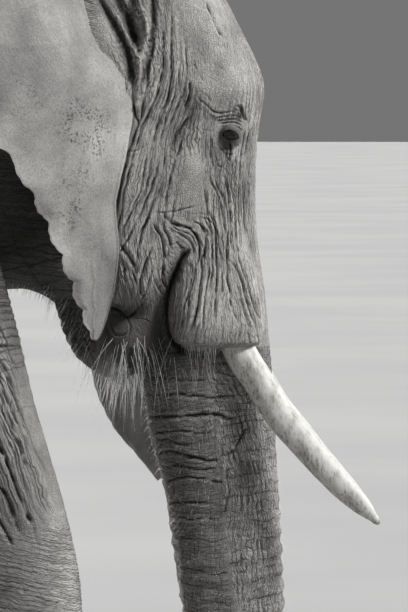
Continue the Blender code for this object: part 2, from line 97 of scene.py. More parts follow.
# x, height, half depth, half width
TRUNK = [
    (1.305, 1.36, 0.180, 0.190), (1.322, 1.18, 0.174, 0.178), (1.347, 1.02, 0.158, 0.164),
    (1.361, 0.88, 0.151, 0.153), (1.379, 0.70, 0.142, 0.142), (1.398, 0.53, 0.124, 0.124),
    (1.410, 0.38, 0.101, 0.104), (1.398, 0.255, 0.085, 0.088), (1.352, 0.165, 0.072, 0.076),
    (1.282, 0.125, 0.058, 0.066), (1.242, 0.128, 0.046, 0.056),
]
# x, height, half depth, half width
JAW = [
    (1.07, 1.72, 0.14, 0.13), (1.05, 1.60, 0.15, 0.145), (1.045, 1.50, 0.148, 0.130),
    (1.055, 1.42, 0.128, 0.105), (1.085, 1.365, 0.095, 0.078), (1.125, 1.320, 0.055, 0.050),
]
# x, offset from the middle, height, half depth, half width: the sleeve of flesh round each tusk's root
SHEATH = [
    (1.330, 0.120, 1.84, 0.060, 0.070), (1.328, 0.150, 1.70, 0.085, 0.085),
    (1.330, 0.168, 1.58, 0.112, 0.090), (1.334, 0.178, 1.48, 0.128, 0.088),
    (1.342, 0.182, 1.415, 0.120, 0.083), (1.352, 0.182, 1.390, 0.100, 0.076),
]
# height, x, offset from the middle, half depth, half width
FORELEG = [
    (-0.03, 0.000, 0.285, 0.185, 0.170), (0.05, 0.000, 0.285, 0.190, 0.178),
    (0.15, -0.006, 0.285, 0.172, 0.160), (0.30, -0.012, 0.288, 0.147, 0.138),
    (0.48, -0.010, 0.290, 0.141, 0.132), (0.66, 0.002, 0.295, 0.152, 0.140),
    (0.84, -0.020, 0.300, 0.164, 0.146), (1.05, -0.085, 0.310, 0.186, 0.160),
    (1.25, -0.168, 0.318, 0.220, 0.170), (1.45, -0.245, 0.318, 0.262, 0.175),
    (1.65, -0.330, 0.310, 0.300, 0.175), (1.95, -0.430, 0.285, 0.310, 0.170),
    (2.25, -0.480, 0.220, 0.250, 0.140),
]
HINDLEG = [
    (-0.03, 0.000, 0.255, 0.168, 0.145), (0.05, 0.000, 0.255, 0.172, 0.150),
    (0.15, -0.010, 0.255, 0.150, 0.136), (0.30, -0.022, 0.258, 0.124, 0.118),
    (0.50, -0.018, 0.262, 0.121, 0.114), (0.72, 0.020, 0.270, 0.142, 0.124),
    (0.94, 0.070, 0.280, 0.185, 0.145), (1.15, 0.095, 0.285, 0.240, 0.170),
    (1.40, 0.085, 0.285, 0.310, 0.200), (1.70, 0.040, 0.275, 0.370, 0.220),
    (2.00, 0.000, 0.250, 0.360, 0.200), (2.25, -0.010, 0.200, 0.250, 0.150),
]
# x, offset from the middle, height, half depth, half width
TAIL = [
    (-1.44, 0.00, 2.26, 0.095, 0.090), (-1.56, 0.00, 2.17, 0.075, 0.070),
    (-1.645, 0.003, 2.04, 0.055, 0.052), (-1.685, 0.008, 1.86, 0.042, 0.040),
    (-1.700, 0.012, 1.64, 0.034, 0.032), (-1.700, 0.016, 1.40, 0.028, 0.026),
    (-1.690, 0.020, 1.14, 0.022, 0.021),
]
TAIL_BRUSH = [
    (-1.690, 0.020, 1.16, 0.028, 0.016), (-1.687, 0.020, 1.06, 0.045, 0.020),
    (-1.684, 0.020, 0.92, 0.046, 0.022), (-1.682, 0.020, 0.80, 0.030, 0.016),
    (-1.680, 0.020, 0.74, 0.012, 0.010),
]
# x, offset from the middle, height, radius
TUSK = [
    (1.352, 0.165, 1.470, 0.0430), (1.407, 0.184, 1.361, 0.0430), (1.446, 0.193, 1.302, 0.0410),
    (1.501, 0.207, 1.214, 0.0405), (1.558, 0.218, 1.146, 0.0390), (1.616, 0.226, 1.079, 0.0360),
    (1.673, 0.230, 1.018, 0.0325), (1.717, 0.230, 0.975, 0.0265), (1.744, 0.229, 0.948, 0.0175),
    (1.771, 0.228, 0.919, 0.0035),
]
TUSK_DROOP = {RIGHT: 0.0, LEFT: 0.05}  # how much lower a tusk runs, per metre ahead of its root
# Muscle and bone that stand proud of the rings: centre and half sizes
SWELLINGS = [
    ((1.340, 0.176, 2.060), (0.098, 0.084, 0.095)),  # brow over the eye socket
    ((1.345, 0.186, 1.880), (0.070, 0.062, 0.090)),  # cheekbone under the eye
    ((1.115, 0.180, 1.690), (0.140, 0.105, 0.200)),  # chewing muscle
    ((1.120, 0.120, 1.415), (0.090, 0.070, 0.095)),  # corner of the lips
    ((0.960, 0.170, 2.200), (0.160, 0.110, 0.220)),  # seat of the ear
    ((0.330, 0.290, 2.000), (0.330, 0.150, 0.400)),  # shoulder blade
    ((-1.140, 0.190, 2.060), (0.370, 0.230, 0.420)),  # hip
]
# Hollows pressed into the flesh: centre and half sizes
HOLLOWS = [
    ((1.110, 0.395, 2.270), (0.090, 0.125, 0.190)),  # temple, between brow and ear
]
# Each foot: its side, and the x of its centre, which the stride carries ahead of or behind its leg's top
FEET = {
    "front_right": (RIGHT, 0.850),
    "front_left": (LEFT, 0.120),
    "hind_right": (RIGHT, -1.440),
    "hind_left": (LEFT, -1.000),
}
SHOULDER_X, HIP_X = 0.34, -1.17
STANDING_HEIGHT = 1.95  # where a leg no longer follows its foot
NAIL_ANGLES = {"front": (-62, -22, 22, 62), "hind": (-50, 0, 50)}
NAIL_SIZE = (0.015, 0.042, 0.038)  # half thickness, half width, half height
# Edges of each ear laid flat against the head, from its top to the tip of its lobe: x, height.
# The right ear lies back. The left one is swung out and forward, so its lobe hangs lower.
EAR_FRONT_RIGHT = [
    (0.900, 2.500), (0.975, 2.322), (1.043, 2.190), (1.096, 2.128), (1.113, 2.031), (1.098, 1.930),
    (1.078, 1.831), (1.067, 1.772), (1.074, 1.660), (1.064, 1.564), (1.040, 1.467), (1.018, 1.416),
]
EAR_BACK_RIGHT = [
    (0.520, 2.590), (0.300, 2.530), (0.235, 2.370), (0.330, 2.180), (0.530, 2.050), (0.742, 1.955),
    (0.838, 1.832), (0.888, 1.742), (0.926, 1.642), (0.966, 1.555), (0.992, 1.466), (1.004, 1.418),
]
EAR_FRONT_LEFT = [
    (0.915, 2.420), (0.980, 2.290), (1.040, 2.170), (1.085, 2.080), (1.105, 1.970), (1.105, 1.840),
    (1.115, 1.700), (1.140, 1.560), (1.165, 1.420), (1.190, 1.280), (1.205, 1.140), (1.195, 1.000),
]
EAR_BACK_LEFT = [
    (0.530, 2.500), (0.320, 2.450), (0.240, 2.310), (0.290, 2.130), (0.400, 1.970), (0.540, 1.820),
    (0.680, 1.680), (0.790, 1.555), (0.870, 1.425), (0.905, 1.270), (0.985, 1.115), (1.160, 0.985),
]
EAR_TOP_RISE = 0.07
EAR_SCALLOP = 0.010
# height, and how far the ear's root stands from the middle of the head there
EAR_ROOT = [(1.90, 0.290), (2.05, 0.280), (2.30, 0.272), (2.42, 0.245), (2.52, 0.200)]
EAR_PLANE = 0.335  # how far the hanging part of the front edge stands from the middle
# side, front edge, back edge and how far the ear is swung outwards, in degrees
EARS = {
    "ear_right": (RIGHT, EAR_FRONT_RIGHT, EAR_BACK_RIGHT, 13),
    "ear_left": (LEFT, EAR_FRONT_LEFT, EAR_BACK_LEFT, 46),
}
# %% Hollows and swellings seen from the side: centre (x, z), half sizes, how far they stand out
SIDE_FORMS = {
    "gap_behind_sleeve": ((1.188, 1.430), (0.024, 0.080), -0.034),
    "under_corner": ((1.150, 1.350), (0.050, 0.030), -0.010),
    "corner_of_lips": ((1.085, 1.425), (0.045, 0.050), 0.014),
    "sleeve": ((1.290, 1.500), (0.060, 0.105), 0.012),
    "sleeve_toe": ((1.400, 1.440), (0.050, 0.050), 0.006),
    "smooth_cheek": ((1.270, 1.810), (0.040, 0.085), 0.008),
    "behind_eye": ((1.250, 2.005), (0.026, 0.055), -0.014),
    "in_front_of_eye": ((1.418, 1.950), (0.020, 0.070), -0.006),
    "under_brow": ((1.350, 1.995), (0.050, 0.018), -0.008),
    "brow_bulge": ((1.360, 2.070), (0.070, 0.045), 0.014),
    "pouch": ((1.345, 1.898), (0.018, 0.022), 0.006),
    "pocket": ((1.115, 2.290), (0.020, 0.090), -0.020),
    "pocket_front": ((1.165, 2.310), (0.010, 0.060), -0.012),
}
# The furrow behind the tusk's sleeve, from its top down: x, height
FURROW = [
    (1.262, 1.652), (1.247, 1.634), (1.231, 1.598), (1.216, 1.561), (1.207, 1.520), (1.205, 1.480),
    (1.208, 1.440), (1.219, 1.408), (1.239, 1.388), (1.266, 1.378),
]
# %% Hollow lines: depth and half width in millimetres, how much of its light the hide keeps there under painted shade, the line
HOLLOW_AND_SHADE_LINES = {
    "gap_at_ear": (16, 14, 0.22, [(1.013, 2.360), (1.043, 2.295), (1.072, 2.236), (1.097, 2.182),
        (1.107, 2.133), (1.110, 2.074)]),
    "pocket": (22, 15, 0.14, [(1.048, 2.387), (1.070, 2.322), (1.094, 2.279), (1.113, 2.231),
        (1.126, 2.187)]),
    "pocket_front": (8, 8, 0.45, [(1.161, 2.349), (1.169, 2.285), (1.164, 2.214), (1.151, 2.150),
        (1.140, 2.074)]),
    "band": (3, 24, 0.66, [(1.280, 2.063), (1.264, 2.015), (1.240, 1.971), (1.218, 1.917)]),
    "behind_sleeve": (6, 24, 0.30, [(1.226, 1.599), (1.205, 1.539), (1.188, 1.480), (1.191, 1.421),
        (1.215, 1.372)]),
    # painted shadow under the lip: this line pushes nothing
    "under_lip": (0, 13, 0.30, [(1.226, 1.372), (1.280, 1.369), (1.350, 1.369), (1.426, 1.372),
        (1.475, 1.377)]),
    "corner_shade": (4, 14, 0.55, [(1.032, 1.496), (1.075, 1.480), (1.118, 1.480), (1.156, 1.512)]),
    "ear_shade": (0, 10, 0.60, [(1.113, 2.052), (1.105, 1.944), (1.086, 1.847), (1.072, 1.745),
        (1.075, 1.664)]),
}
# %% [markdown]
# ## Folds drawn one by one
# These folds are the face that a keeper would know her by. Each line runs over her side, seen square on:
# its depth and half width in millimetres, and its points as x and height. The left side gets the same ones.
# %% Named folds of the head
FOLDS = [
    # temple
    (7.8, 4, [(1.215, 2.301), (1.218, 2.241), (1.215, 2.160), (1.213, 2.109), (1.205, 2.050), (1.188, 2.020),
        (1.175, 1.980), (1.167, 1.942), (1.156, 1.904)]),
    (7.8, 4, [(1.199, 2.268), (1.196, 2.209), (1.194, 2.160), (1.186, 2.093), (1.167, 2.042), (1.148, 2.001),
        (1.134, 1.971), (1.126, 1.925)]),
    (6.5, 4, [(1.172, 2.225), (1.164, 2.182), (1.156, 2.142), (1.153, 2.106), (1.143, 2.061), (1.137, 2.012),
        (1.134, 1.985)]),
    (5.2, 3, [(1.237, 2.182), (1.237, 2.128), (1.229, 2.074), (1.210, 2.031), (1.196, 1.988), (1.186, 1.950),
        (1.178, 1.917)]),
    (3.9, 3, [(1.248, 2.241), (1.253, 2.187), (1.256, 2.133), (1.248, 2.074), (1.232, 2.031), (1.215, 1.993),
        (1.205, 1.961)]),
    (6.5, 4, [(1.264, 2.112), (1.264, 2.079), (1.259, 2.052), (1.248, 2.025)]),
    # root of the ear
    (7.8, 4, [(1.105, 2.074), (1.113, 2.042), (1.121, 2.012), (1.129, 1.988), (1.113, 1.944), (1.099, 1.907),
        (1.089, 1.863), (1.078, 1.815), (1.072, 1.766), (1.070, 1.712)]),
    (6.5, 3, [(1.140, 1.982), (1.124, 1.939), (1.105, 1.874), (1.094, 1.831), (1.086, 1.788), (1.078, 1.739),
        (1.064, 1.696)]),
    # crack beside the ear
    (5.2, 3, [(1.102, 1.915), (1.124, 1.920), (1.145, 1.931)]),
    # rear of the cheek
    (6.5, 3, [(1.151, 1.917), (1.143, 1.869), (1.132, 1.809), (1.118, 1.777), (1.099, 1.734),
        (1.080, 1.696)]),
    (6.5, 3, [(1.183, 1.901), (1.172, 1.858), (1.161, 1.815), (1.143, 1.772), (1.121, 1.728),
        (1.097, 1.685)]),
    (5.2, 3, [(1.191, 1.858), (1.183, 1.809), (1.164, 1.766), (1.148, 1.728), (1.132, 1.685),
        (1.121, 1.647)]),
    (5.2, 3, [(1.164, 1.917), (1.156, 1.863), (1.148, 1.820), (1.129, 1.782), (1.110, 1.750)]),
    (3.9, 3, [(1.169, 1.793), (1.156, 1.755), (1.140, 1.718), (1.126, 1.680)]),
    # band from the brow to the cheek
    (3.9, 4, [(1.280, 2.061), (1.278, 2.025), (1.256, 1.998), (1.237, 1.971), (1.224, 1.944), (1.202, 1.920),
        (1.196, 1.885), (1.191, 1.847)]),
    (6.5, 4, [(1.264, 2.020), (1.248, 1.988), (1.229, 1.963), (1.215, 1.928), (1.207, 1.890)]),
    (6.5, 3, [(1.248, 1.961), (1.237, 1.925), (1.224, 1.890), (1.210, 1.839), (1.202, 1.804),
        (1.196, 1.761)]),
    # ledge over the sleeve
    (3.9, 3, [(1.161, 1.750), (1.183, 1.753), (1.205, 1.753), (1.226, 1.758), (1.248, 1.761), (1.269, 1.766),
        (1.302, 1.772)]),
    (2.6, 2, [(1.232, 1.739), (1.259, 1.745), (1.286, 1.750), (1.313, 1.747)]),
    # front edge of the bare cheek
    (5.2, 3, [(1.296, 1.858), (1.304, 1.807), (1.310, 1.766), (1.318, 1.728), (1.323, 1.685)]),
    # side of the nose
    (5.2, 3, [(1.315, 1.861), (1.318, 1.839), (1.334, 1.812), (1.345, 1.788), (1.350, 1.755), (1.356, 1.718),
        (1.356, 1.685)]),
    (5.2, 3, [(1.326, 1.853), (1.337, 1.826), (1.353, 1.793), (1.364, 1.761), (1.367, 1.723), (1.364, 1.685),
        (1.361, 1.642), (1.372, 1.615)]),
    (3.9, 3, [(1.350, 1.866), (1.359, 1.839), (1.367, 1.799), (1.372, 1.755), (1.375, 1.712), (1.372, 1.674),
        (1.383, 1.637)]),
    (3.9, 2, [(1.367, 1.858), (1.375, 1.815), (1.383, 1.772), (1.385, 1.723), (1.388, 1.674),
        (1.394, 1.631)]),
    # front of the nose
    (5.2, 3, [(1.418, 1.993), (1.410, 1.950), (1.402, 1.912), (1.396, 1.858), (1.394, 1.804), (1.396, 1.750),
        (1.399, 1.696)]),
    (6.5, 4, [(1.437, 1.998), (1.423, 1.958), (1.413, 1.907), (1.407, 1.858), (1.407, 1.807), (1.410, 1.755),
        (1.413, 1.707), (1.410, 1.664)]),
    (6.5, 4, [(1.434, 1.917), (1.426, 1.874), (1.421, 1.823), (1.423, 1.764), (1.426, 1.710), (1.431, 1.658),
        (1.437, 1.610)]),
    (3.9, 3, [(1.448, 2.004), (1.442, 1.944), (1.434, 1.890)]),
    (3.9, 2, [(1.388, 1.917), (1.385, 1.874), (1.383, 1.831), (1.385, 1.788)]),
    # arcs round the sleeve's top
    (9.1, 4, [(1.191, 1.753), (1.202, 1.739), (1.215, 1.728), (1.237, 1.718), (1.261, 1.712),
        (1.280, 1.712)]),
    (7.8, 4, [(1.280, 1.736), (1.294, 1.715), (1.304, 1.696), (1.307, 1.674), (1.304, 1.647), (1.296, 1.626),
        (1.294, 1.593), (1.288, 1.547), (1.283, 1.496), (1.269, 1.445), (1.264, 1.421)]),
    (9.1, 4, [(1.256, 1.710), (1.275, 1.696), (1.286, 1.680), (1.291, 1.658), (1.288, 1.631),
        (1.278, 1.610)]),
    (6.5, 3, [(1.226, 1.704), (1.245, 1.691), (1.264, 1.674), (1.275, 1.655), (1.272, 1.637)]),
    (9.1, 4, [(1.167, 1.723), (1.180, 1.704), (1.188, 1.685), (1.194, 1.655), (1.196, 1.620), (1.194, 1.593),
        (1.191, 1.566)]),
    (7.8, 4, [(1.186, 1.739), (1.191, 1.715), (1.202, 1.696), (1.210, 1.672), (1.207, 1.642),
        (1.202, 1.615)]),
    (6.5, 3, [(1.169, 1.583), (1.175, 1.564), (1.186, 1.542), (1.199, 1.526)]),
    (6.5, 3, [(1.194, 1.634), (1.191, 1.602), (1.194, 1.566), (1.207, 1.547)]),
    (3.9, 3, [(1.226, 1.680), (1.237, 1.664), (1.253, 1.655)]),
    (6.5, 2, [(1.167, 1.734), (1.172, 1.712), (1.188, 1.691), (1.196, 1.658), (1.202, 1.626),
        (1.205, 1.604)]),
    (6.5, 2, [(1.213, 1.739), (1.234, 1.723), (1.261, 1.710), (1.283, 1.691), (1.299, 1.664), (1.304, 1.631),
        (1.302, 1.599)]),
    (6.5, 2, [(1.207, 1.728), (1.234, 1.707), (1.261, 1.696), (1.278, 1.674), (1.288, 1.647)]),
    (5.2, 2, [(1.261, 1.734), (1.288, 1.723), (1.310, 1.701), (1.321, 1.674), (1.326, 1.642),
        (1.329, 1.604)]),
    (5.2, 2, [(1.294, 1.739), (1.315, 1.734), (1.337, 1.701), (1.342, 1.664), (1.348, 1.620)]),
    (5.2, 2, [(1.191, 1.745), (1.196, 1.712), (1.205, 1.691), (1.213, 1.669), (1.215, 1.642)]),
    # short cracks across the arcs
    (3.9, 2, [(1.199, 1.631), (1.210, 1.615), (1.221, 1.610)]),
    (3.9, 2, [(1.196, 1.599), (1.207, 1.588), (1.215, 1.588)]),
    (3.9, 2, [(1.210, 1.647), (1.224, 1.642), (1.232, 1.626)]),
    (3.9, 2, [(1.210, 1.664), (1.221, 1.669), (1.232, 1.674)]),
    # sleeve of the tusk
    (5.2, 3, [(1.261, 1.623), (1.267, 1.607), (1.267, 1.580), (1.256, 1.529), (1.242, 1.461),
        (1.237, 1.431)]),
    (5.2, 3, [(1.275, 1.615), (1.275, 1.588), (1.269, 1.561), (1.261, 1.523), (1.261, 1.494),
        (1.248, 1.445)]),
    (6.5, 3, [(1.313, 1.642), (1.315, 1.593), (1.307, 1.547), (1.302, 1.502), (1.299, 1.461),
        (1.294, 1.421)]),
    (5.2, 3, [(1.302, 1.745), (1.310, 1.723), (1.321, 1.696), (1.326, 1.672), (1.323, 1.631), (1.323, 1.593),
        (1.315, 1.547), (1.310, 1.507)]),
    (7.8, 3, [(1.307, 1.769), (1.323, 1.739), (1.332, 1.701), (1.334, 1.647), (1.334, 1.593), (1.334, 1.547),
        (1.332, 1.494), (1.326, 1.453)]),
    (5.2, 3, [(1.350, 1.672), (1.361, 1.642), (1.364, 1.610), (1.364, 1.580), (1.369, 1.547), (1.372, 1.512),
        (1.383, 1.480), (1.399, 1.442)]),
    (6.5, 3, [(1.369, 1.628), (1.388, 1.604), (1.404, 1.566), (1.413, 1.526), (1.426, 1.485),
        (1.445, 1.440)]),
    (5.2, 3, [(1.388, 1.647), (1.399, 1.615), (1.415, 1.572), (1.426, 1.534), (1.442, 1.491),
        (1.458, 1.453)]),
    (3.9, 3, [(1.388, 1.566), (1.399, 1.534), (1.404, 1.502), (1.415, 1.469), (1.426, 1.431)]),
    (3.9, 2, [(1.348, 1.599), (1.350, 1.556), (1.350, 1.512)]),
    (3.9, 3, [(1.410, 1.664), (1.426, 1.615), (1.440, 1.566), (1.450, 1.518), (1.464, 1.469)]),
    (3.9, 2, [(1.283, 1.512), (1.278, 1.469), (1.275, 1.431)]),
    # swags behind the sleeve
    (13, 5, [(1.075, 1.674), (1.091, 1.650), (1.107, 1.628), (1.118, 1.612), (1.126, 1.588)]),
    (10.4, 4, [(1.167, 1.674), (1.156, 1.642), (1.148, 1.620), (1.140, 1.593), (1.134, 1.572), (1.134, 1.545),
        (1.140, 1.518)]),
    (6.5, 3, [(1.156, 1.750), (1.145, 1.723), (1.137, 1.696), (1.129, 1.669), (1.126, 1.642),
        (1.124, 1.615)]),
    (6.5, 3, [(1.091, 1.620), (1.089, 1.593), (1.094, 1.566), (1.107, 1.539), (1.115, 1.512)]),
    (6.5, 3, [(1.107, 1.602), (1.121, 1.575), (1.126, 1.547), (1.121, 1.518)]),
    (5.2, 3, [(1.175, 1.647), (1.167, 1.610), (1.156, 1.572), (1.145, 1.534), (1.129, 1.504)]),
    (5.2, 3, [(1.110, 1.712), (1.099, 1.685), (1.086, 1.664), (1.075, 1.642)]),
    (3.9, 3, [(1.070, 1.631), (1.072, 1.593), (1.070, 1.556), (1.059, 1.518)]),
    # corner of the lips
    (6, 3, [(1.037, 1.496), (1.053, 1.494), (1.075, 1.485), (1.094, 1.472), (1.107, 1.477), (1.124, 1.494),
        (1.140, 1.507), (1.153, 1.531)]),
    (4, 3, [(1.094, 1.472), (1.105, 1.445), (1.099, 1.421)]),
    (3, 2, [(1.105, 1.472), (1.124, 1.469), (1.145, 1.464), (1.167, 1.453)]),
    # pouch below the lips' corner
    (3, 3, [(1.053, 1.469), (1.051, 1.445), (1.064, 1.426), (1.086, 1.426), (1.099, 1.445)]),
    (4, 5, [(1.037, 1.453), (1.048, 1.415), (1.070, 1.388), (1.097, 1.372)]),
    (2, 3, [(1.113, 1.442), (1.134, 1.421), (1.156, 1.410)]),
    # brow
    (5, 3, [(1.280, 2.069), (1.291, 2.052), (1.310, 2.039), (1.323, 2.025), (1.340, 2.020), (1.361, 2.020),
        (1.394, 2.025)]),
    # notch of the brow
    (14, 3, [(1.388, 2.039), (1.396, 2.034), (1.402, 2.023), (1.407, 2.009), (1.413, 1.993)]),
    (7, 2, [(1.385, 2.023), (1.394, 2.025), (1.402, 2.020), (1.407, 2.009)]),
    # brow
    (3, 2, [(1.291, 2.074), (1.310, 2.063), (1.323, 2.047)]),
    # crack behind the lashes
    (3, 2, [(1.291, 1.974), (1.307, 1.969), (1.329, 1.966)]),
    # tear line
    (5, 3, [(1.372, 1.928), (1.369, 1.904), (1.364, 1.880), (1.361, 1.858)]),
    # under the eye
    (6.5, 3, [(1.318, 1.966), (1.321, 1.925), (1.321, 1.890), (1.332, 1.871)]),
    (5.2, 3, [(1.340, 1.947), (1.342, 1.928), (1.356, 1.915)]),
    (5.2, 3, [(1.332, 1.904), (1.334, 1.885), (1.348, 1.874), (1.359, 1.890), (1.356, 1.912)]),
    (3.9, 3, [(1.304, 1.955), (1.307, 1.917), (1.307, 1.880), (1.299, 1.847)]),
    # forehead
    (4, 3, [(1.307, 2.322), (1.313, 2.301), (1.323, 2.274), (1.334, 2.247), (1.350, 2.225), (1.367, 2.209)]),
    (2, 3, [(1.291, 2.160), (1.313, 2.150), (1.334, 2.144), (1.361, 2.128)]),
    (2, 3, [(1.302, 2.117), (1.329, 2.106), (1.350, 2.090), (1.372, 2.085)]),
    (3, 2, [(1.280, 2.144), (1.291, 2.117), (1.302, 2.096)]),
    (3, 2, [(1.269, 2.187), (1.275, 2.155), (1.288, 2.128)]),
]
# Ridges on both sides of the temple's pocket, given the same way
RIDGES = [
    # behind the pocket
    (16, 8, [(1.010, 2.403), (1.034, 2.322), (1.075, 2.263), (1.105, 2.209), (1.124, 2.155), (1.124, 2.096)]),
    # ahead of the pocket
    (14, 8, [(1.113, 2.403), (1.124, 2.322), (1.148, 2.263), (1.148, 2.209), (1.134, 2.160), (1.129, 2.079),
        (1.124, 1.988)]),
]
# Folds of the upper foreleg
LEG_FOLDS = [
    (10, 5, [(0.697, 1.431), (0.740, 1.391), (0.778, 1.296), (0.816, 1.194), (0.864, 1.075)]),
    (10, 5, [(0.686, 1.377), (0.751, 1.318), (0.789, 1.232), (0.821, 1.134), (0.848, 1.053)]),
    (10, 5, [(0.670, 1.283), (0.735, 1.215), (0.773, 1.140), (0.805, 1.053), (0.837, 0.972), (0.854, 0.929)]),
    (9, 5, [(0.654, 1.188), (0.724, 1.107), (0.762, 1.048), (0.800, 0.978), (0.827, 0.897)]),
    (9, 5, [(0.643, 1.107), (0.713, 1.016), (0.746, 0.972), (0.778, 0.918), (0.805, 0.870)]),
    (6, 4, [(0.773, 1.372), (0.800, 1.307), (0.821, 1.264)]),
    (6, 4, [(0.751, 1.404), (0.773, 1.410), (0.797, 1.404)]),
    (4, 3, [(0.832, 0.972), (0.854, 0.929), (0.870, 0.875)]),
    (7, 4, [(0.735, 1.442), (0.767, 1.372), (0.800, 1.286), (0.832, 1.199)]),
    (7, 4, [(0.719, 1.334), (0.762, 1.264), (0.800, 1.178), (0.832, 1.091)]),
    (7, 4, [(0.708, 1.242), (0.751, 1.178), (0.789, 1.091), (0.821, 1.010)]),
    (7, 4, [(0.697, 1.145), (0.740, 1.080), (0.778, 1.010), (0.810, 0.935)]),
]
# Folds of the trunk, from the lip down
TRUNK_FOLDS = [
    (4, 3, [(1.145, 1.302), (1.183, 1.307), (1.226, 1.304), (1.269, 1.302), (1.318, 1.304), (1.361, 1.299)]),
    (7, 4, [(1.129, 1.250), (1.156, 1.259), (1.188, 1.261), (1.237, 1.264), (1.304, 1.256), (1.372, 1.259),
        (1.399, 1.253)]),
    (10, 5, [(1.137, 1.186), (1.156, 1.194), (1.183, 1.199), (1.215, 1.202), (1.264, 1.205), (1.318, 1.210),
        (1.364, 1.202), (1.396, 1.188)]),
    (6, 3, [(1.161, 1.151), (1.183, 1.156), (1.202, 1.159), (1.229, 1.164), (1.269, 1.161), (1.310, 1.159),
        (1.367, 1.161)]),
    (10, 4, [(1.161, 1.086), (1.183, 1.099), (1.202, 1.105), (1.229, 1.105), (1.256, 1.097), (1.291, 1.089),
        (1.323, 1.083), (1.361, 1.089)]),
    (5, 3, [(1.167, 1.059), (1.196, 1.061), (1.224, 1.067), (1.248, 1.067), (1.280, 1.061), (1.318, 1.061),
        (1.361, 1.061)]),
    (8, 3, [(1.194, 1.016), (1.205, 1.024), (1.221, 1.029), (1.242, 1.037), (1.278, 1.037), (1.304, 1.034),
        (1.337, 1.026), (1.369, 1.026)]),
    (6, 3, [(1.194, 0.948), (1.215, 0.962), (1.242, 0.967), (1.278, 0.970), (1.318, 0.967), (1.367, 0.962)]),
    (5, 3, [(1.361, 1.094), (1.364, 1.040), (1.369, 0.994), (1.361, 0.945), (1.372, 0.913)]),
    (5, 3, [(1.361, 1.089), (1.385, 1.115), (1.404, 1.148), (1.415, 1.178)]),
    (4, 3, [(1.167, 1.132), (1.199, 1.137), (1.232, 1.129), (1.269, 1.124)]),
    (5, 3, [(1.199, 0.913), (1.232, 0.926), (1.269, 0.924), (1.307, 0.929), (1.350, 0.921)]),
    (4, 2, [(1.388, 1.242), (1.396, 1.210), (1.402, 1.178), (1.399, 1.145), (1.383, 1.113)]),
]
# %% Which way the face's wrinkles run
# Eight guide lines run down the face from the ear to the nose. At each height: x of each guide.
FACE_GUIDES = [
    (1.242, 1.102, 1.143, 1.169, 1.210, 1.250, 1.323, 1.458, 1.485),
    (1.391, 1.102, 1.134, 1.161, 1.205, 1.237, 1.323, 1.453, 1.483),
    (1.485, 1.097, 1.129, 1.156, 1.205, 1.253, 1.332, 1.431, 1.475),
    (1.553, 1.086, 1.118, 1.143, 1.205, 1.267, 1.334, 1.415, 1.464),
    (1.620, 1.072, 1.102, 1.134, 1.196, 1.269, 1.334, 1.402, 1.453),
    (1.688, 1.064, 1.086, 1.124, 1.188, 1.256, 1.332, 1.396, 1.445),
    (1.755, 1.064, 1.080, 1.124, 1.191, 1.256, 1.323, 1.396, 1.440),
    (1.823, 1.075, 1.091, 1.140, 1.202, 1.269, 1.318, 1.396, 1.437),
    (1.890, 1.086, 1.110, 1.156, 1.207, 1.291, 1.321, 1.399, 1.437),
    (1.958, 1.105, 1.129, 1.167, 1.221, 1.299, 1.323, 1.404, 1.445),
    (2.012, 1.113, 1.151, 1.186, 1.242, 1.304, 1.332, 1.410, 1.456),
    (2.079, 1.113, 1.180, 1.205, 1.264, 1.304, 1.350, 1.415, 1.458),
    (2.160, 1.107, 1.194, 1.215, 1.264, 1.304, 1.359, 1.404, 1.442),
    (2.322, 1.021, 1.156, 1.196, 1.237, 1.291, 1.345, 1.367, 1.388),
]
# %% A smooth row between the ribs
def through(stations, count):
    """Rows on a smooth curve through the stations (Catmull-Rom), evenly spaced by station."""
    rows = np.array(stations, float)
    ends = np.vstack([2 * rows[0] - rows[1], rows, 2 * rows[-1] - rows[-2]])
    place = np.linspace(0, len(rows) - 1, count)
    first = np.minimum(place.astype(int), len(rows) - 2)
    t = (place - first)[:, None]
    a, b, c, d = (ends[first + k] for k in range(4))
    return 0.5 * (2 * b + (c - a) * t + (2 * a - 5 * b + 4 * c - d) * t**2 + (3 * b - a - 3 * c + d) * t**3)


def unit(vectors):
    """Each vector at length 1."""
    return vectors / np.maximum(np.linalg.norm(vectors, axis=-1, keepdims=True), 1e-9)


def rings(centres, half_up, half_across, normal=None, sides=40, power=2.3, narrow=0.0):
    """Superellipse rings round a path: |across|^power + |up|^power = 1, square to the path or to normal.
    Up lies in the XZ plane, and narrow makes a ring slimmer towards up."""
    centres = np.array(centres, float)
    if normal is None:
        along = unit(np.gradient(centres, axis=0))
    else:
        along = np.tile(np.array(normal, float), (len(centres), 1))
    side_axis = np.array((0.0, 1.0, 0.0))
    across = unit(side_axis - (along @ side_axis)[:, None] * along)
    up = np.cross(across, along)
    angle = np.linspace(0, 2 * math.pi, sides, endpoint=False)
    c = np.sign(np.cos(angle)) * np.abs(np.cos(angle)) ** (2 / power)
    s = np.sign(np.sin(angle)) * np.abs(np.sin(angle)) ** (2 / power)
    width = np.outer(half_across, c * (1 - narrow * s))
    height = np.outer(half_up, s)
    return centres[:, None] + width[..., None] * across[:, None] + height[..., None] * up[:, None]


def tube(grid):
    """Points and faces of a closed form through an array of rings, (ring, point, xyz): quads round the rings
    and one flat face over each end, all pointing outwards."""
    count, sides = grid.shape[:2]
    index = np.arange(count * sides).reshape(count, sides)
    nxt = np.roll(index, -1, axis=1)
    quads = np.stack([index[:-1], nxt[:-1], nxt[1:], index[1:]], axis=-1).reshape(-1, 4)
    points = grid.reshape(-1, 3)
    faces = quads.tolist() + [index[0][::-1].tolist(), index[-1].tolist()]
    a, b, c = points[quads[:, 0]], points[quads[:, 1]], points[quads[:, 2]]
    middle = points.mean(axis=0)
    if np.sum(np.cross(b - a, c - a) * (a - middle)) < 0:
        faces = [face[::-1] for face in faces]
    return points, faces


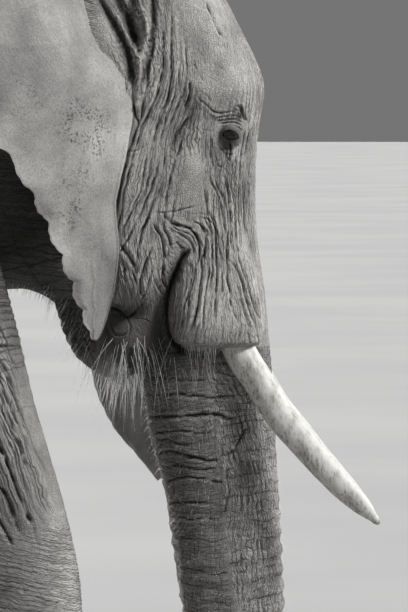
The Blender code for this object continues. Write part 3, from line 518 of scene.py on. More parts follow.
def in_scene(name, data):
    """An object of that mesh, lamp or camera, put into the scene."""
    obj = bpy.data.objects.new(name, data)
    bpy.context.scene.collection.objects.link(obj)
    return obj


def new_object(name, points, faces):
    """A mesh object of these points and faces, standing where the solids stand and kept within their box."""
    placed = np.clip(np.asarray(points) + SHIFT, *cad_box)
    mesh = bpy.data.meshes.new(name)
    mesh.from_pydata(placed.tolist(), [], [list(face) for face in faces])
    mesh.validate()
    mesh.shade_smooth()
    return in_scene(name, mesh)


def add_layer(mesh, name, values):
    """Keeps a number or a vector for each point of the mesh, which the finish reads by that name."""
    kind, key = ("FLOAT", "value") if values.ndim == 1 else ("FLOAT_VECTOR", "vector")
    mesh.attributes.new(name, kind, "POINT").data.foreach_set(key, values.astype(np.float32).ravel())


# %% The forms of the flesh
def box_ring_form(table, count, **shape):
    """A form whose rows give x, top, bottom and half width: the ribs of the barrel and the neck."""
    x, top, bottom, width = through(table, count).T
    centres = np.column_stack([x, 0 * x, (top + bottom) / 2])
    return rings(centres, (top - bottom) / 2, width, normal=(-1, 0, 0), **shape)


def leg_form(foot):
    """A leg whose foot has been carried along by the stride, while its shoulder or hip stays in place."""
    side, foot_x = FEET[foot]
    front = foot.startswith("front")
    z, x, y, depth, width = through(FORELEG if front else HINDLEG, 60).T
    top_x = SHOULDER_X if front else HIP_X
    share = np.clip(z / STANDING_HEIGHT, 0, 1)
    lean = (top_x - np.interp(STANDING_HEIGHT, z, x) - foot_x) * share**1.15
    return rings(np.column_stack([foot_x + x + lean, side * y, z]), depth, width, normal=(0, 0, 1), power=2.2)


def sheath_form(side):
    """The sleeve of flesh round a tusk's root."""
    x, y, z, depth, width = through(SHEATH, 30).T
    return rings(np.column_stack([x, side * y, z]), depth, width, normal=(0, 0, -1), power=2.6)


def ball_form(centre, size):
    """An ellipsoid as rings from pole to pole: centre + size x (cos u sin v, sin u sin v, cos v)."""
    v = np.linspace(0.05, math.pi - 0.05, 18)[:, None]
    u = np.linspace(0, 2 * math.pi, 28, endpoint=False)[None]
    ball = np.stack([np.sin(v) * np.cos(u), np.sin(v) * np.sin(u), np.cos(v) + 0 * u], axis=-1)
    return np.array(centre) + ball * np.array(size)


z, back, front, width = through(HEAD, 60).T
middle = np.column_stack([(back + front) / 2, 0 * z, z])
forms = [
    box_ring_form(TORSO, 60, power=2.2, narrow=0.16),
    box_ring_form(NECK, 30, power=2.3, narrow=0.10),
    rings(middle, (front - back) / 2, width, normal=(0, 0, 1), power=3.0, narrow=0.10),
]
x, z, depth, width = through(TRUNK, 90).T
trunk_line = np.column_stack([x, z])
forms.append(rings(np.column_stack([x, 0 * x, z]), depth, width, power=2.4, narrow=-0.08))
x, z, depth, width = through(JAW, 30).T
forms.append(rings(np.column_stack([x, 0 * x, z]), depth, width, power=2.2))
x, y, z, depth, width = through(TAIL, 40).T
forms.append(rings(np.column_stack([x, y, z]), depth, width, sides=20, power=2.0))
forms += [sheath_form(side) for side in (RIGHT, LEFT)]
forms += [leg_form(foot) for foot in FEET]
forms += [ball_form((x, side * y, z), size) for (x, y, z), size in SWELLINGS for side in (RIGHT, LEFT)]
print(len(forms), "forms make the flesh")

# %% [markdown]
# ## One skin over all the forms
# A sculptor lays the forms on the armature and smooths one layer of clay over them. Remesh does that:
# it wraps the overlapping forms in a single closed surface of even squares, and a few dozen smoothing
# passes round the places where they meet. Boolean unions would leave a hard line at every join.
# %% Wrap and smooth
SKIN_GRID = 0.0095  # side of a square of the first skin
ROUNDING = 0.037  # how far the smoothing reaches round a join


def apply_modifiers(obj):
    """The object's mesh with its modifiers worked in."""
    graph = bpy.context.evaluated_depsgraph_get()
    mesh = bpy.data.meshes.new_from_object(obj.evaluated_get(graph), depsgraph=graph)
    obj.modifiers.clear()
    obj.data = mesh


def points_of(mesh):
    """The mesh's points as an array."""
    flat = np.empty(len(mesh.vertices) * 3, np.float32)
    mesh.vertices.foreach_get("co", flat)
    return flat.reshape(-1, 3).astype(float)


def move_points(mesh, points):
    """Puts the mesh's points where the array says."""
    mesh.vertices.foreach_set("co", np.ascontiguousarray(points, np.float32).ravel())
    mesh.update()


def normals_of(mesh):
    """The mesh's normals at its points."""
    flat = np.empty(len(mesh.vertices) * 3, np.float32)
    mesh.vertex_normals.foreach_get("vector", flat)
    return flat.reshape(-1, 3).astype(float)


def smooth_skin(obj, passes):
    """Each pass moves every point half of the way to the middle of its neighbours."""
    smooth = obj.modifiers.new("smooth", "SMOOTH")
    smooth.factor, smooth.iterations = 0.5, passes
    apply_modifiers(obj)


points, faces = [], []
for form in forms:
    form_points, form_faces = tube(form)
    offset = sum(len(block) for block in points)
    points.append(form_points)
    faces += [[offset + k for k in face] for face in form_faces]
skin = new_object("skin", np.concatenate(points), faces)
remesh = skin.modifiers.new("wrap", "REMESH")
remesh.mode, remesh.voxel_size = "VOXEL", SKIN_GRID
apply_modifiers(skin)

at = points_of(skin.data) - SHIFT
for (x, y, z), (half_x, half_y, half_z) in HOLLOWS:
    inside = 1 - ((at[:, 0] - x) / half_x) ** 2 - ((at[:, 2] - z) / half_z) ** 2
    floor_y = y - half_y * np.sqrt(np.clip(inside, 0, 1))
    pressed = (inside > 0) & (np.abs(at[:, 1]) > floor_y) & (np.abs(at[:, 1]) < y + half_y)
    at[pressed, 1] = np.sign(at[pressed, 1]) * floor_y[pressed]
move_points(skin.data, at + SHIFT)
smooth_skin(skin, int(2 * (ROUNDING / SKIN_GRID) ** 2))
print("first skin:", len(skin.data.polygons), "squares")
# %% [markdown]
# ## A finer mesh where the folds are fine
# The hide of the head and trunk is creased every centimetre or two, and the barrel only every hand's
# breadth. So each square of the head, neck, trunk and right foreleg is cut in four, and those of the
# near cheek and the eyes again. Cutting one mesh keeps it in one piece, so no seam opens between them.
# %% Cut the squares of the head and trunk
def cut_in_four(obj, chosen):
    """Cuts each edge whose two ends are chosen points in half, and so each square there in four."""
    bm = bmesh.new()
    bm.from_mesh(obj.data)
    bm.verts.ensure_lookup_table()
    edges = [edge for edge in bm.edges if chosen[edge.verts[0].index] and chosen[edge.verts[1].index]]
    bmesh.ops.subdivide_edges(bm, edges=edges, cuts=1, use_grid_fill=True)
    bm.to_mesh(obj.data)
    bm.free()


def eye_distance(at):
    """How far each point is from the middle of the eye on its own side."""
    return np.linalg.norm(at * (1, 0, 1) + np.abs(at) * (0, 1, 0) - EYE, axis=1)


at = points_of(skin.data) - SHIFT
x, y, z = at.T
head_and_trunk = (x > 0.86) & (z > 1.15) | (x > 1.12) & (z < 1.4)
foreleg = (np.abs(x - 0.8) < 0.3) & (y < -0.1) & (np.abs(z - 1.15) < 0.6)
throat = (x > 0.72) & (z > 1.4) & (z < 2.0)
cut_in_four(skin, head_and_trunk | foreleg | throat)
smooth_skin(skin, 4)
at = points_of(skin.data) - SHIFT
x, y, z = at.T
cheek = (x > 1.04) & (y < -0.07) & (np.abs(z - 1.71) < 0.38)
cut_in_four(skin, (eye_distance(at) < 0.075) | cheek)
cut_in_four(skin, eye_distance(points_of(skin.data) - SHIFT) < 0.055)
smooth_skin(skin, 3)
print("fine skin:", len(skin.data.polygons), "faces")
# %% [markdown]
# ## Tools for carving the hide
# Every fold is a height over the skin: the distance that a point moves along its normal. A few small
# functions make them all. `rise` fades a form in, `bell` rounds it off to both sides, `noise` keeps it from
# looking machined, and `near_line` measures the way to a fold drawn on the animal's side. Heights come
# first, and one move applies them.
# %% Fades and noise
MM = 0.001
RANDOM = np.random.default_rng(11).uniform(-1, 1, 8192)
DARK_DEPTH = 0.005  # a fold this deep is as dark as a fold gets
CREASE_WIDTH = 0.0028  # half width of the dark of a crease


def rise(value, start, end):
    """0 up to start and 1 from end on, with a smooth S between them: t x t x (3 - 2t)."""
    t = np.clip((value - start) / (end - start), 0, 1)
    return t * t * (3 - 2 * t)


def bell(gap, width):
    """1 in the middle, 0.37 at the width and next to nothing at twice that: exp(-(gap / width)^2)."""
    return np.exp(-((gap / width) ** 2))


def noise(at, size, seed=0):
    """Soft lumps about that size, from -1 to 1: random numbers at a lattice's corners, blended between."""
    place = np.asarray(at, float) / size + seed * 7.31
    cell = np.floor(place).astype(np.int64)
    f = place - cell
    f = f * f * f * (f * (f * 6 - 15) + 10)
    total = np.zeros(len(place))
    for corner in ((a, b, c) for a in (0, 1) for b in (0, 1) for c in (0, 1)):
        key = cell + corner
        key = (key[:, 0] * 73856093) ^ (key[:, 1] * 19349663) ^ (key[:, 2] * 83492791)
        share = np.where(corner, f, 1 - f)
        total += share[:, 0] * share[:, 1] * share[:, 2] * RANDOM[key & 8191]
    return total


def wobble(at, reach, size, seed):
    """Small steps in x and height, up to reach, which make a drawn line waver."""
    return reach * np.column_stack([noise(at, size, seed), noise(at, size, seed + 1)])


def near_line(side, line, reach):
    """For points seen from the side (x, z): which lie within reach of a drawn line, how far from it, and
    how far along it they are, from 0 to 1."""
    path = through(line, 6 * len(line))
    low, high = path.min(0) - reach, path.max(0) + reach
    near = np.nonzero(((side > low) & (side < high)).all(axis=1))[0]
    start, along = path[:-1], np.diff(path, axis=0)
    to = side[near, None] - start
    t = np.clip(np.sum(to * along, -1) / np.sum(along * along, -1), 0, 1)
    gap = np.linalg.norm(to - t[..., None] * along, axis=-1)
    best = gap.argmin(axis=1)
    row = np.arange(len(near))
    return near, gap[row, best], (best + t[row, best]) / len(along)


def draw_folds(side, facing, folds, height, dark):
    """Cuts each fold: -depth x bell(distance, width), with a swelling beside it, fading at its ends."""
    for depth, width, line in folds:
        width, depth = width * MM, depth * MM
        near, gap, t = near_line(side, line, 6 * width)
        fade = facing[near] * rise(t, 0, 0.18) * rise(1 - t, 0, 0.18)
        fade = fade * (0.75 + 0.5 * noise(np.column_stack([side[near], 0 * t]), 0.018, 90))
        height[near] -= depth * fade * bell(gap, width)
        height[near] += 0.38 * depth * fade * bell(gap - 2.3 * width, 1.4 * width)
        # the fold's middle is darkened as dust and painted shade, the deeper the darker
        dark[near] = np.maximum(dark[near], min(1, depth / DARK_DEPTH) * fade * bell(gap, 0.7 * width))


def creases(phase, spacing, seed):
    """Pillows between parallel creases, and how dark each crease is. The phase counts creases: a crease lies
    at every whole number, and its depth is its own, from faint to full."""
    number = np.round(phase)
    gap = np.abs(phase - number)
    strength = 0.62 + 0.38 * RANDOM[(number.astype(np.int64) * 2654435 + seed * 97) & 8191]
    pillow = (2 * gap) ** 0.55
    return strength * (pillow - 1), strength * bell(gap * spacing, CREASE_WIDTH)


# %% [markdown]
# ## The head's larger forms
# Behind each brow is the temple, a hollow crossed by two cords of skin. The tusk grows out of a sleeve
# with a deep furrow behind it and a lip over its end. The eye sits in a ball-shaped bed, under a lid.
# These forms are pushed straight in or out, because they are deeper than a wrinkle.
# %% Seen from the side
LID_BALL = 0.0245  # radius of the ball that the lids lie on, 3.5 mm more than the eye's
OPEN_WIDTH, OPEN_HEIGHT = 0.0235, 0.0150  # half sizes of the opening between the lids
FURROW_DEPTH = 0.032

at = points_of(skin.data) - SHIFT
at[:, 2] = np.maximum(at[:, 2], 0)  # the soles stand flat
move_points(skin.data, at + SHIFT)
normal = normals_of(skin.data)
head = np.nonzero((at[:, 0] > 0.86) & (at[:, 2] > 1.2))[0]


def eye_bed(at):
    """Moves the skin round each eye: onto the lids' ball, and well inside it within the almond of the open
    lids, |u / half width|^1.8 + |w / half height|^1.8 < 1."""
    u, w = at[:, 0] - EYE[0], at[:, 2] - EYE[2]
    w = w + 0.16 * u
    far = np.hypot(u, w)
    sign = np.sign(at[:, 1])
    out = np.abs(at[:, 1])
    bowl = out - 0.010 * bell(far, 0.034)
    lid = EYE[1] + np.sqrt(np.maximum(LID_BALL**2 - u * u - w * w, 0))
    on_lid = rise(-far, -0.036, -0.021) * (out > 0.18)
    out = bowl * (1 - on_lid) + np.maximum(lid, bowl * 0.985) * on_lid
    almond = np.abs(u / OPEN_WIDTH) ** 1.8 + np.abs(w / OPEN_HEIGHT) ** 1.8
    open_lids = rise(1 - almond, 0, 0.30) * (far < 0.04)
    return np.column_stack([at[:, 0], sign * (out - 0.024 * open_lids), at[:, 2]])


part = at[head]
side = part[:, [0, 2]]
facing = rise(np.abs(normal[head, 1]), 0.15, 0.5)
push = np.zeros(len(part))
for depth, width, line in RIDGES:
    near, gap, t = near_line(side, line, 0.04)
    push[near] += MM * depth * facing[near] * bell(gap, MM * width) * rise(1 - t, 0, 0.25)
for (x, z), (half_x, half_z), depth in SIDE_FORMS.values():
    push += depth * facing * np.exp(-(((side[:, 0] - x) / half_x) ** 2) - ((side[:, 1] - z) / half_z) ** 2)
for depth, width, _, line in HOLLOW_AND_SHADE_LINES.values():
    near, gap, t = near_line(side, line, 3 * MM * width)
    push[near] -= MM * depth * facing[near] * bell(gap, MM * width) * rise(1 - t, 0, 0.2)
near, gap, t = near_line(side, FURROW, 0.05)
behind = side[near, 0] < np.interp(side[near, 1], *zip(*sorted((z, x) for x, z in FURROW)))
fade = facing[near] * rise(t, 0, 0.08) * rise(1 - t, 0, 0.10)
push[near] -= FURROW_DEPTH * fade * bell(gap, 0.008)
push[near] += np.where(behind, -0.010, 0.009) * fade * bell(gap, 0.026)
part[:, 1] += np.sign(part[:, 1]) * push
at[head] = eye_bed(part)
move_points(skin.data, at + SHIFT)
print("carved", len(head), "points of the head")
# %% [markdown]
# ## Wrinkles
# The hide is a size too big, so it creases wherever it bends: up and down the face, round the top of
# the tusk's sleeve, in rings round the trunk. Folds that give the face its look are drawn one by one.
# The rest come in families. A family is a set of lines counted by a phase, which grows by 1 from each
# crease to the next. The mesh carries the relief, and the same phase goes to the finish for the cracks.
# %% The face
normal = normals_of(skin.data)
height = np.zeros(len(at))
# how dark each point is painted: dust with painted shade in folds, creases and hollows
dark = np.zeros(len(at))
flow = np.zeros((len(at), 3))  # phase across the wrinkles, place along them, how strong they are
GUIDE_LINES = np.array([0, 3, 5.5, 9.5, 13, 17, 22, 27])  # wrinkles counted from the ear up to each guide


def face_phase(part):
    """Wrinkles counted from the ear to the nose, in proportion between the guide lines at each height."""
    rows = through(FACE_GUIDES, 120)
    x = part[:, 0] + 0.45 * np.maximum(0.20 - np.abs(part[:, 1]), 0)
    phase = np.zeros(len(part))
    guides = [np.interp(part[:, 2], rows[:, 0], rows[:, k]) for k in range(1, 9)]
    for k in range(7):
        share = (x - guides[k]) / (guides[k + 1] - guides[k])
        share = share.clip(None if k == 0 else 0, None if k == 6 else 1)
        phase += (GUIDE_LINES[k + 1] - GUIDE_LINES[k]) * share
    return phase


def near_spot(side, spots):
    """How far each point lies within soft ovals: the largest of exp(-r^4), each oval (x, z), (half sizes)."""
    inside = np.zeros(len(side))
    for (x, z), (half_x, half_z) in spots:
        r = ((side[:, 0] - x) / half_x) ** 2 + ((side[:, 1] - z) / half_z) ** 2
        inside = np.maximum(inside, np.exp(-(r**2)))
    return inside


SMOOTH_SPOTS = [
    ((1.270, 1.830), (0.046, 0.090)),  # bare cheek
    ((1.345, 2.110), (0.085, 0.085)),  # brow
    ((1.290, 2.260), (0.090, 0.110)),  # forehead
    ((1.372, 1.960), (0.050, 0.050)),  # eye
    ((1.110, 1.430), (0.090, 0.055)),  # corner of the lips
    ((1.243, 1.685), (0.056, 0.058)),  # over the sleeve
]
CALMER_SPOTS = [
    ((1.345, 1.530), (0.110, 0.150)),  # sleeve
    ((1.130, 1.880), (0.090, 0.200)),  # rear of the cheek
]
head = np.nonzero((at[:, 0] > 0.80) & (at[:, 2] > 1.28))[0]
part = at[head]
side = part[:, [0, 2]]
from_eye = eye_distance(part)
phase = face_phase(part) + 0.40 * noise(part, 0.100, 1) + 0.12 * noise(part, 0.030, 2)
is_face = rise(part[:, 2], 1.31, 1.36) * rise(part[:, 0], 1.03, 1.07)
calm = (1 - 0.85 * near_spot(side, SMOOTH_SPOTS)) * (1 - 0.40 * near_spot(side, CALMER_SPOTS))
flow[head] = np.column_stack([phase, part[:, 2] / 0.060, is_face * calm])
h, d = creases(phase, 0.0160, 1)
broken = 0.65 + 0.35 * noise(part * (1, 1, 0.35), 0.035, 4)
h *= 0.0034 * is_face * calm * broken
d *= 0.75 * is_face * calm * broken
side = side + wobble(part, 0.0022, 0.026, 5) + wobble(part, 0.0007, 0.0075, 10)
facing = rise(np.abs(normal[head, 1]), 0.12, 0.45)
draw_folds(side, facing, FOLDS, h, d)
near, gap, t = near_line(side, FURROW, 0.03)
d[near] = np.maximum(d[near], facing[near] * bell(gap, 0.0075) * rise(1 - t, 0, 0.1))
dimples = rise(noise(part, 0.0075, 70), 0.15, 0.75) * (rise(part[:, 2], 2.02, 2.10) + 0.5 * calm * is_face)
h -= (0.0008 + 0.0008 * rise(part[:, 2], 2.10, 2.20)) * dimples
keep = rise(from_eye, 0.026, 0.045)
height[head] = h * keep
dark[head] = d * keep
print("face wrinkles:", int((d > 0.3).sum()), "points lie in a crease")

# %% The lids
LID_FOLDS = [
    # upper lid
    (5, 1.7, [(1.329, 2.004), (1.348, 2.008), (1.372, 2.012), (1.394, 2.008), (1.404, 1.998)]),
    (5, 1.7, [(1.334, 1.996), (1.353, 2.000), (1.377, 2.002), (1.394, 1.998), (1.404, 1.988)]),
    (5, 1.7, [(1.342, 1.988), (1.361, 1.992), (1.380, 1.993), (1.396, 1.988), (1.404, 1.977)]),
    (5, 1.7, [(1.345, 1.978), (1.361, 1.982), (1.380, 1.984), (1.396, 1.977), (1.404, 1.966)]),
    (4, 1.7, [(1.337, 2.014), (1.356, 2.018), (1.374, 2.020), (1.388, 2.018)]),
    # rear corner of the eye
    (3, 2, [(1.350, 1.969), (1.340, 1.961), (1.332, 1.947), (1.329, 1.928)]),
    # lower lid
    (3, 2, [(1.348, 1.942), (1.356, 1.928), (1.369, 1.920), (1.385, 1.925), (1.396, 1.939)]),
    (3, 2, [(1.340, 1.934), (1.350, 1.917), (1.367, 1.907), (1.388, 1.912), (1.404, 1.934)]),
    # tear line
    (8, 2.4, [(1.369, 1.942), (1.372, 1.925), (1.371, 1.907), (1.367, 1.885)]),
]
close = from_eye < 0.075
near_eye = head[close]
part = at[near_eye]
side = part[:, [0, 2]] + wobble(part, 0.0006, 0.010, 7)
h, d = np.zeros(len(part)), np.zeros(len(part))
draw_folds(side, rise(from_eye[close], 0.017, 0.024), LID_FOLDS, h, d)
height[near_eye] += h
dark[near_eye] = np.maximum(dark[near_eye], d)

# %% The trunk
def trunk_place(part):
    """For points of the trunk: the way down its middle line, the angle round it (0 ahead) and its radius."""
    gap = np.linalg.norm(part[:, None, [0, 2]] - trunk_line, axis=-1)
    best = gap.argmin(axis=1)
    along = unit(np.gradient(trunk_line, axis=0))[best]
    length = np.concatenate([[0], np.cumsum(np.linalg.norm(np.diff(trunk_line, axis=0), axis=1))])[best]
    off = part[:, [0, 2]] - trunk_line[best]
    down = length + np.sum(off * along, axis=1)
    ahead = off[:, 0] * -along[:, 1] + off[:, 1] * along[:, 0]
    return down, np.arctan2(part[:, 1], ahead), np.hypot(part[:, 1], ahead)


trunk = np.nonzero((at[:, 0] > 1.1) & (at[:, 2] < 1.44))[0]
part = at[trunk]
down, angle, radius = trunk_place(part)
hanging = rise(-normal[trunk, 2], 0.4, 0.7) * (part[:, 2] < 1.41)
is_trunk = np.maximum(rise(-part[:, 2], -1.392, -1.380), hanging) * rise(-part[:, 2], -1.44, -1.38)
wave = 0.016 * noise(part, 0.13, 20) + 0.006 * noise(part, 0.045, 21)
lower = rise(down, 0.30, 0.50)
edge = np.abs(angle) + 0.10 * noise(part, 0.05, 19) - 1.54
rear = rise(edge, -0.03, 0.03)
sag = down + wave + 0.012 * np.cos(2 * angle)
h_rear, d_rear = creases(sag / 0.0410, 0.0410, 20)
h_mid, d_mid = creases(sag / 0.0190 + 0.4, 0.0190, 27)
h_front, d_front = creases((down + 0.5 * wave) / 0.0190, 0.0190, 21)
h_swell = np.cos(2 * math.pi * (down + 0.4 * wave) / 0.050)
around = angle * radius - 0.6 * np.maximum(0.45 - down, 0) ** 2 * np.sign(angle)
around = around + 0.4 * wave + 0.004 * noise(part, 0.018, 22)
h_up, d_up = creases(around / 0.0150, 0.0150, 23)
broken = 0.6 + 0.4 * noise(part, 0.030, 24)
patchy = rise(noise(part, 0.040, 25), -0.5, 0.2)
h = rear * (0.0048 * h_rear + 0.0026 * h_mid) + 0.0026 * (1 - rear) * h_front
upright = broken * (0.0042 * (1 - rear) + (0.0020 + 0.0012 * lower) * rear) * h_up
h += upright + 0.0028 * (1 - 0.3 * rear) * h_swell * lower
ringed = np.maximum(0.45 * (1 + lower) * d_rear, 0.7 * d_mid * patchy)
d = rear * np.maximum(ringed, (0.6 + 0.3 * lower) * broken * d_up)
d = d + (1 - rear) * np.maximum(0.6 * d_front * patchy, broken * d_up)
at_seam = bell(edge * radius, 0.005)
seam = at_seam * rise(down, 0.10, 0.16) * rise(-down, -0.42, -0.36)
h -= 0.0025 * seam
side = part[:, [0, 2]] + wobble(part, 0.0022, 0.020, 28)
draw_folds(side, rise(np.abs(normal[trunk, 1]), 0.02, 0.25), TRUNK_FOLDS, h, d)
d = np.maximum(d, 0.5 * seam)
height[trunk] += is_trunk * h
dark[trunk] = np.maximum(dark[trunk] * (1 - is_trunk), is_trunk * d)
across = np.where(edge > 0, sag / 0.0100, around / 0.0140)
length = np.where(edge > 0, around / 0.0150, (down + wave) / 0.026)
chosen = is_trunk > 0.5
cross = np.zeros(len(at))
cross[trunk] = is_trunk * (1 - at_seam)
flow[trunk[chosen]] = np.column_stack([across, length, (1 - at_seam) * is_trunk])[chosen]
print("trunk:", len(trunk), "points")

# %% The rest of the body
FLANK_WAY = (0.95, 0.0, 0.30)  # the flank's main creases run square to this


def long_folds(part, direction, spacing, seed):
    """Creases square to a direction, wavering by noise, and their phase. They fade where the skin faces
    that way."""
    warp = 0.35 * spacing * noise(part, 3.2 * spacing, seed)
    warp += 0.12 * spacing * noise(part, 1.1 * spacing, seed + 1)
    phase = (part @ np.array(direction) + warp) / spacing
    lying = 1 - rise(np.abs(normal[body] @ direction), 0.80, 0.97)
    h, d = creases(phase, spacing, seed)
    return lying * h, lying * d, phase


body = np.nonzero(at[:, 0] < 1.03)[0]
part = at[body]
z = part[:, 2]
flank = rise(z, 1.0, 1.3)
h_net, d_net, _ = long_folds(part, FLANK_WAY, 0.055, 30)
h_cross, d_cross, _ = long_folds(part, (-0.25, 0.0, 0.97), 0.048, 33)
patchy = rise(noise(part, 0.28, 36), -0.45, 0.35)
h = flank * patchy * (0.0045 * h_net + 0.0032 * h_cross)
d = flank * patchy * 0.8 * np.maximum(d_net, d_cross)
neck = rise(part[:, 0], 0.50, 0.62) * rise(z, 1.25, 1.40)
h_neck, d_neck, neck_phase = long_folds(part, (0.15, 0.0, 0.99), 0.021, 40)
h += neck * 0.0045 * h_neck
d = np.maximum(d, neck * 0.9 * d_neck)
leg = 1 - rise(z, 1.0, 1.25)
h_leg, d_leg, _ = long_folds(part, (0.12, 0.0, 0.99), 0.026, 44)
h_slant, d_slant, slant_phase = long_folds(part, (0.94, 0.0, 0.345), 0.025, 54)
slanting = rise(z + 0.05 * noise(part, 0.09, 57), 0.80, 1.06) * rise(-z, -1.55, -1.42)
slanting = slanting * rise(part[:, 0], 0.56, 0.62) * (part[:, 1] < 0)
h_knee, d_knee, leg_phase = long_folds(part, (0.22, 0.0, 0.97), 0.0125, 47)
at_knee = bell(z - 0.62, 0.16) + 0.7 * bell(z - 0.24, 0.07)
on_leg = leg * (1 - slanting)
h += on_leg * ((0.0010 + 0.0026 * at_knee) * h_leg + 0.0018 * h_knee) + 0.0050 * slanting * h_slant
d_leg = np.maximum((0.25 + 0.5 * np.clip(at_knee, 0, 1)) * d_leg, 0.6 * d_knee)
d = np.maximum(np.maximum(d, on_leg * d_leg), 0.8 * slanting * d_slant)
side = part[:, [0, 2]] + wobble(part, 0.005, 0.04, 50)
facing = rise(np.abs(normal[body, 1]), 0.05, 0.35) * (part[:, 0] > 0.4)
draw_folds(side, facing, LEG_FOLDS, h, d)
off_head = rise(-part[:, 0], -1.03, -0.99)
height[body] += off_head * h
dark[body] = np.maximum(dark[body], off_head * d)
is_slanting = slanting > 0.5
lying = 1 - rise(np.abs(normal[body] @ FLANK_WAY), 0.60, 0.90)
is_leg = (leg > 0.5) & ~is_slanting
phase = np.where(is_leg, leg_phase, np.where(neck > 0.5, 2 * neck_phase, (part @ FLANK_WAY) / 0.018))
place = np.where(is_leg, np.arctan2(part[:, 1], part[:, 0] - 0.5) / 0.12, part[:, 0] / 0.06)
strength = np.where(neck > 0.5, rise(neck, 0.5, 0.8), 0.8 * lying * rise(-neck, -0.5, -0.2))
strength = np.where(is_leg, 0.8 * rise(leg, 0.5, 0.8), strength)
strength *= np.where(is_leg, 1, rise(-leg, -0.5, -0.2))
phase = np.where(is_slanting, 1.5 * slant_phase, phase)
slant_strength = rise(lying, 0, 0.4) * rise(slanting, 0.5, 0.8)
strength = np.where(is_slanting, slant_strength, strength * rise(-slanting, -0.5, -0.2))
plain = flow[body, 2] < 0.02
flow[body[plain]] = np.column_stack([phase, place, strength * off_head])[plain]

# %% Fine lumps and one move
height += 0.0012 * noise(at, 0.045, 60) + 0.0005 * noise(at, 0.013, 61)
on_floor = at[:, 2] < 0.012
height[on_floor] = 0
at += normal * height[:, None]
at = np.clip(at + SHIFT, *cad_box) - SHIFT  # no swelling passes the solids' box
move_points(skin.data, at + SHIFT)
print("deepest fold", round(1000 * height.min(), 1), "mm")

# %% [markdown]
# ## Dust and painted shade in the hollows, wear and painted highlight on the ridges
# Dust settles where the hide is hollow and rubs off where it stands proud, and the hollows are also darkened
# as painted shade and the ridges lightened as painted highlight. A hollow is found by smoothing
# a copy of the skin: where the smoothed skin lies outside the real one, the real one is hollow there.
# %% Hollows
copy = in_scene("smoothed", skin.data.copy())
smooth_skin(copy, 10)
normal = normals_of(skin.data)
hollow = np.sum((points_of(copy.data) - points_of(skin.data)) * normal, axis=1)
bpy.data.objects.remove(copy)
# sunk darkens the hollows as dust and painted shade, proud lightens the ridges as wear and painted highlight
sunk = rise(hollow, 0.0003, 0.0024)
proud = rise(-hollow, 0.0002, 0.0016)
dark = np.clip(np.maximum(dark, 0.9 * sunk), 0, 1)

# %% Tones of the hide, with painted shade and painted light
# centre (x, z), half sizes, and how much of its light the hide keeps there; the darkest spots are painted
# shade
TONE_AND_SHADE_SPOTS = [
    # painted shade: the ear's shadow on the neck, the shade under the throat and in the corner of the lips
    ((0.790, 1.740), (0.210, 0.270), 0.10),  # neck behind the ear
    ((0.930, 1.460), (0.150, 0.130), 0.26),  # throat
    ((1.130, 1.395), (0.112, 0.115), 0.22),  # corner of the lips
    # dark skin with painted shade round the eye and at its corner
    ((1.374, 1.958), (0.036, 0.031), 0.12),  # round the eye
    ((1.364, 1.930), (0.012, 0.022), 0.40),  # corner of the eye
    ((1.345, 1.545), (0.100, 0.130), 1.12),  # sleeve
    # painted shade in the notch of the brow
    ((1.403, 2.022), (0.007, 0.016), 0.22),  # notch of the brow
    ((1.420, 1.860), (0.022, 0.090), 0.80),  # beside the nose
    ((0.700, 0.960), (0.190, 0.440), 0.56),  # foreleg
]
side = at[:, [0, 2]]
# the ridges are lightened: wear with painted highlight
tone_and_painted_light = 1 + 0.30 * proud
part_z = at[trunk, 2]
for spot, half, kept in TONE_AND_SHADE_SPOTS:
    tone_and_painted_light *= 1 - (1 - kept) * near_spot(side, [(spot, half)])
# painted shade along each hollow line, darkest in its middle
for _, width, kept, line in HOLLOW_AND_SHADE_LINES.values():
    near, gap, t = near_line(side, line, 3 * MM * width)
    tone_and_painted_light[near] *= 1 - (1 - kept) * bell(gap, MM * width) * rise(1 - t, 0, 0.15)
on_trunk = rise(-side[:, 1], -1.39, -1.37) * rise(side[:, 0], 1.12, 1.16)
tone_and_painted_light *= 1 - 0.25 * on_trunk
# the trunk's rear side is darkened as painted shade, less further down the trunk
tone_and_painted_light[trunk] *= 1 - (0.16 - 0.12 * lower) * rear * is_trunk
# painted rim light along the trunk's rear edge and, fainter, along its front, stronger on the ridges
painted_light_and_stain = 1.1 * rise(np.abs(angle), 2.35, 2.8) + 0.35 * rise(-np.abs(angle), -0.75, -0.35)
tone_and_painted_light[trunk] *= 1 + is_trunk * painted_light_and_stain * rise(-part_z, -1.32, -1.24) * (0.35 + 0.65 * proud[trunk])
tone_and_painted_light *= 1 - 0.06 * near_spot(side, [((1.330, 2.130), (0.110, 0.110))])  # brow
barrel = rise(-at[:, 0], -0.62, -0.42)
tone_and_painted_light *= 1 - barrel * (0.40 - 0.16 * rise(-at[:, 2], -0.8, -0.1))
tone_and_painted_light *= 1 + (0.20 - 0.12 * barrel) * noise(at, 0.060, 95) + 0.10 * noise(at, 0.020, 96)
# %% [markdown]
# ## One skin in several pieces
# A million triangles in one mesh are slow to open elsewhere, so the finished skin is divided like a suit:
# head, trunk, neck, barrel, rump and legs. The pieces share the points of their common edge, and each keeps
# the normals of the whole skin, so light crosses the edge as if it weren't there.
# %% Divide the skin
def region_of(middle):
    """The number of the piece that a face belongs to, from its middle."""
    x, y, z = middle.T
    region = np.full(len(middle), 5)
    region[x > -0.45] = 4
    region[(x > 0.30) & (z > 1.62)] = 3
    region[(x > 0.30) & (z <= 1.62) & (y < 0)] = 6
    region[(x > -0.45) & (x <= 0.86) & (z <= 1.05) & (y > 0)] = 7
    region[(x > 0.86) & (z > 1.30) & (y < 0)] = 0
    region[(x > 0.86) & (z > 1.30) & (y >= 0)] = 1
    region[(x > 1.10) & (z <= 1.30)] = 2
    region[(x > 0.86) & (z > 1.30) & (z <= 1.72) & (y < 0)] = 8
    region[(x <= -0.45) & (y > 0)] = 9
    return region


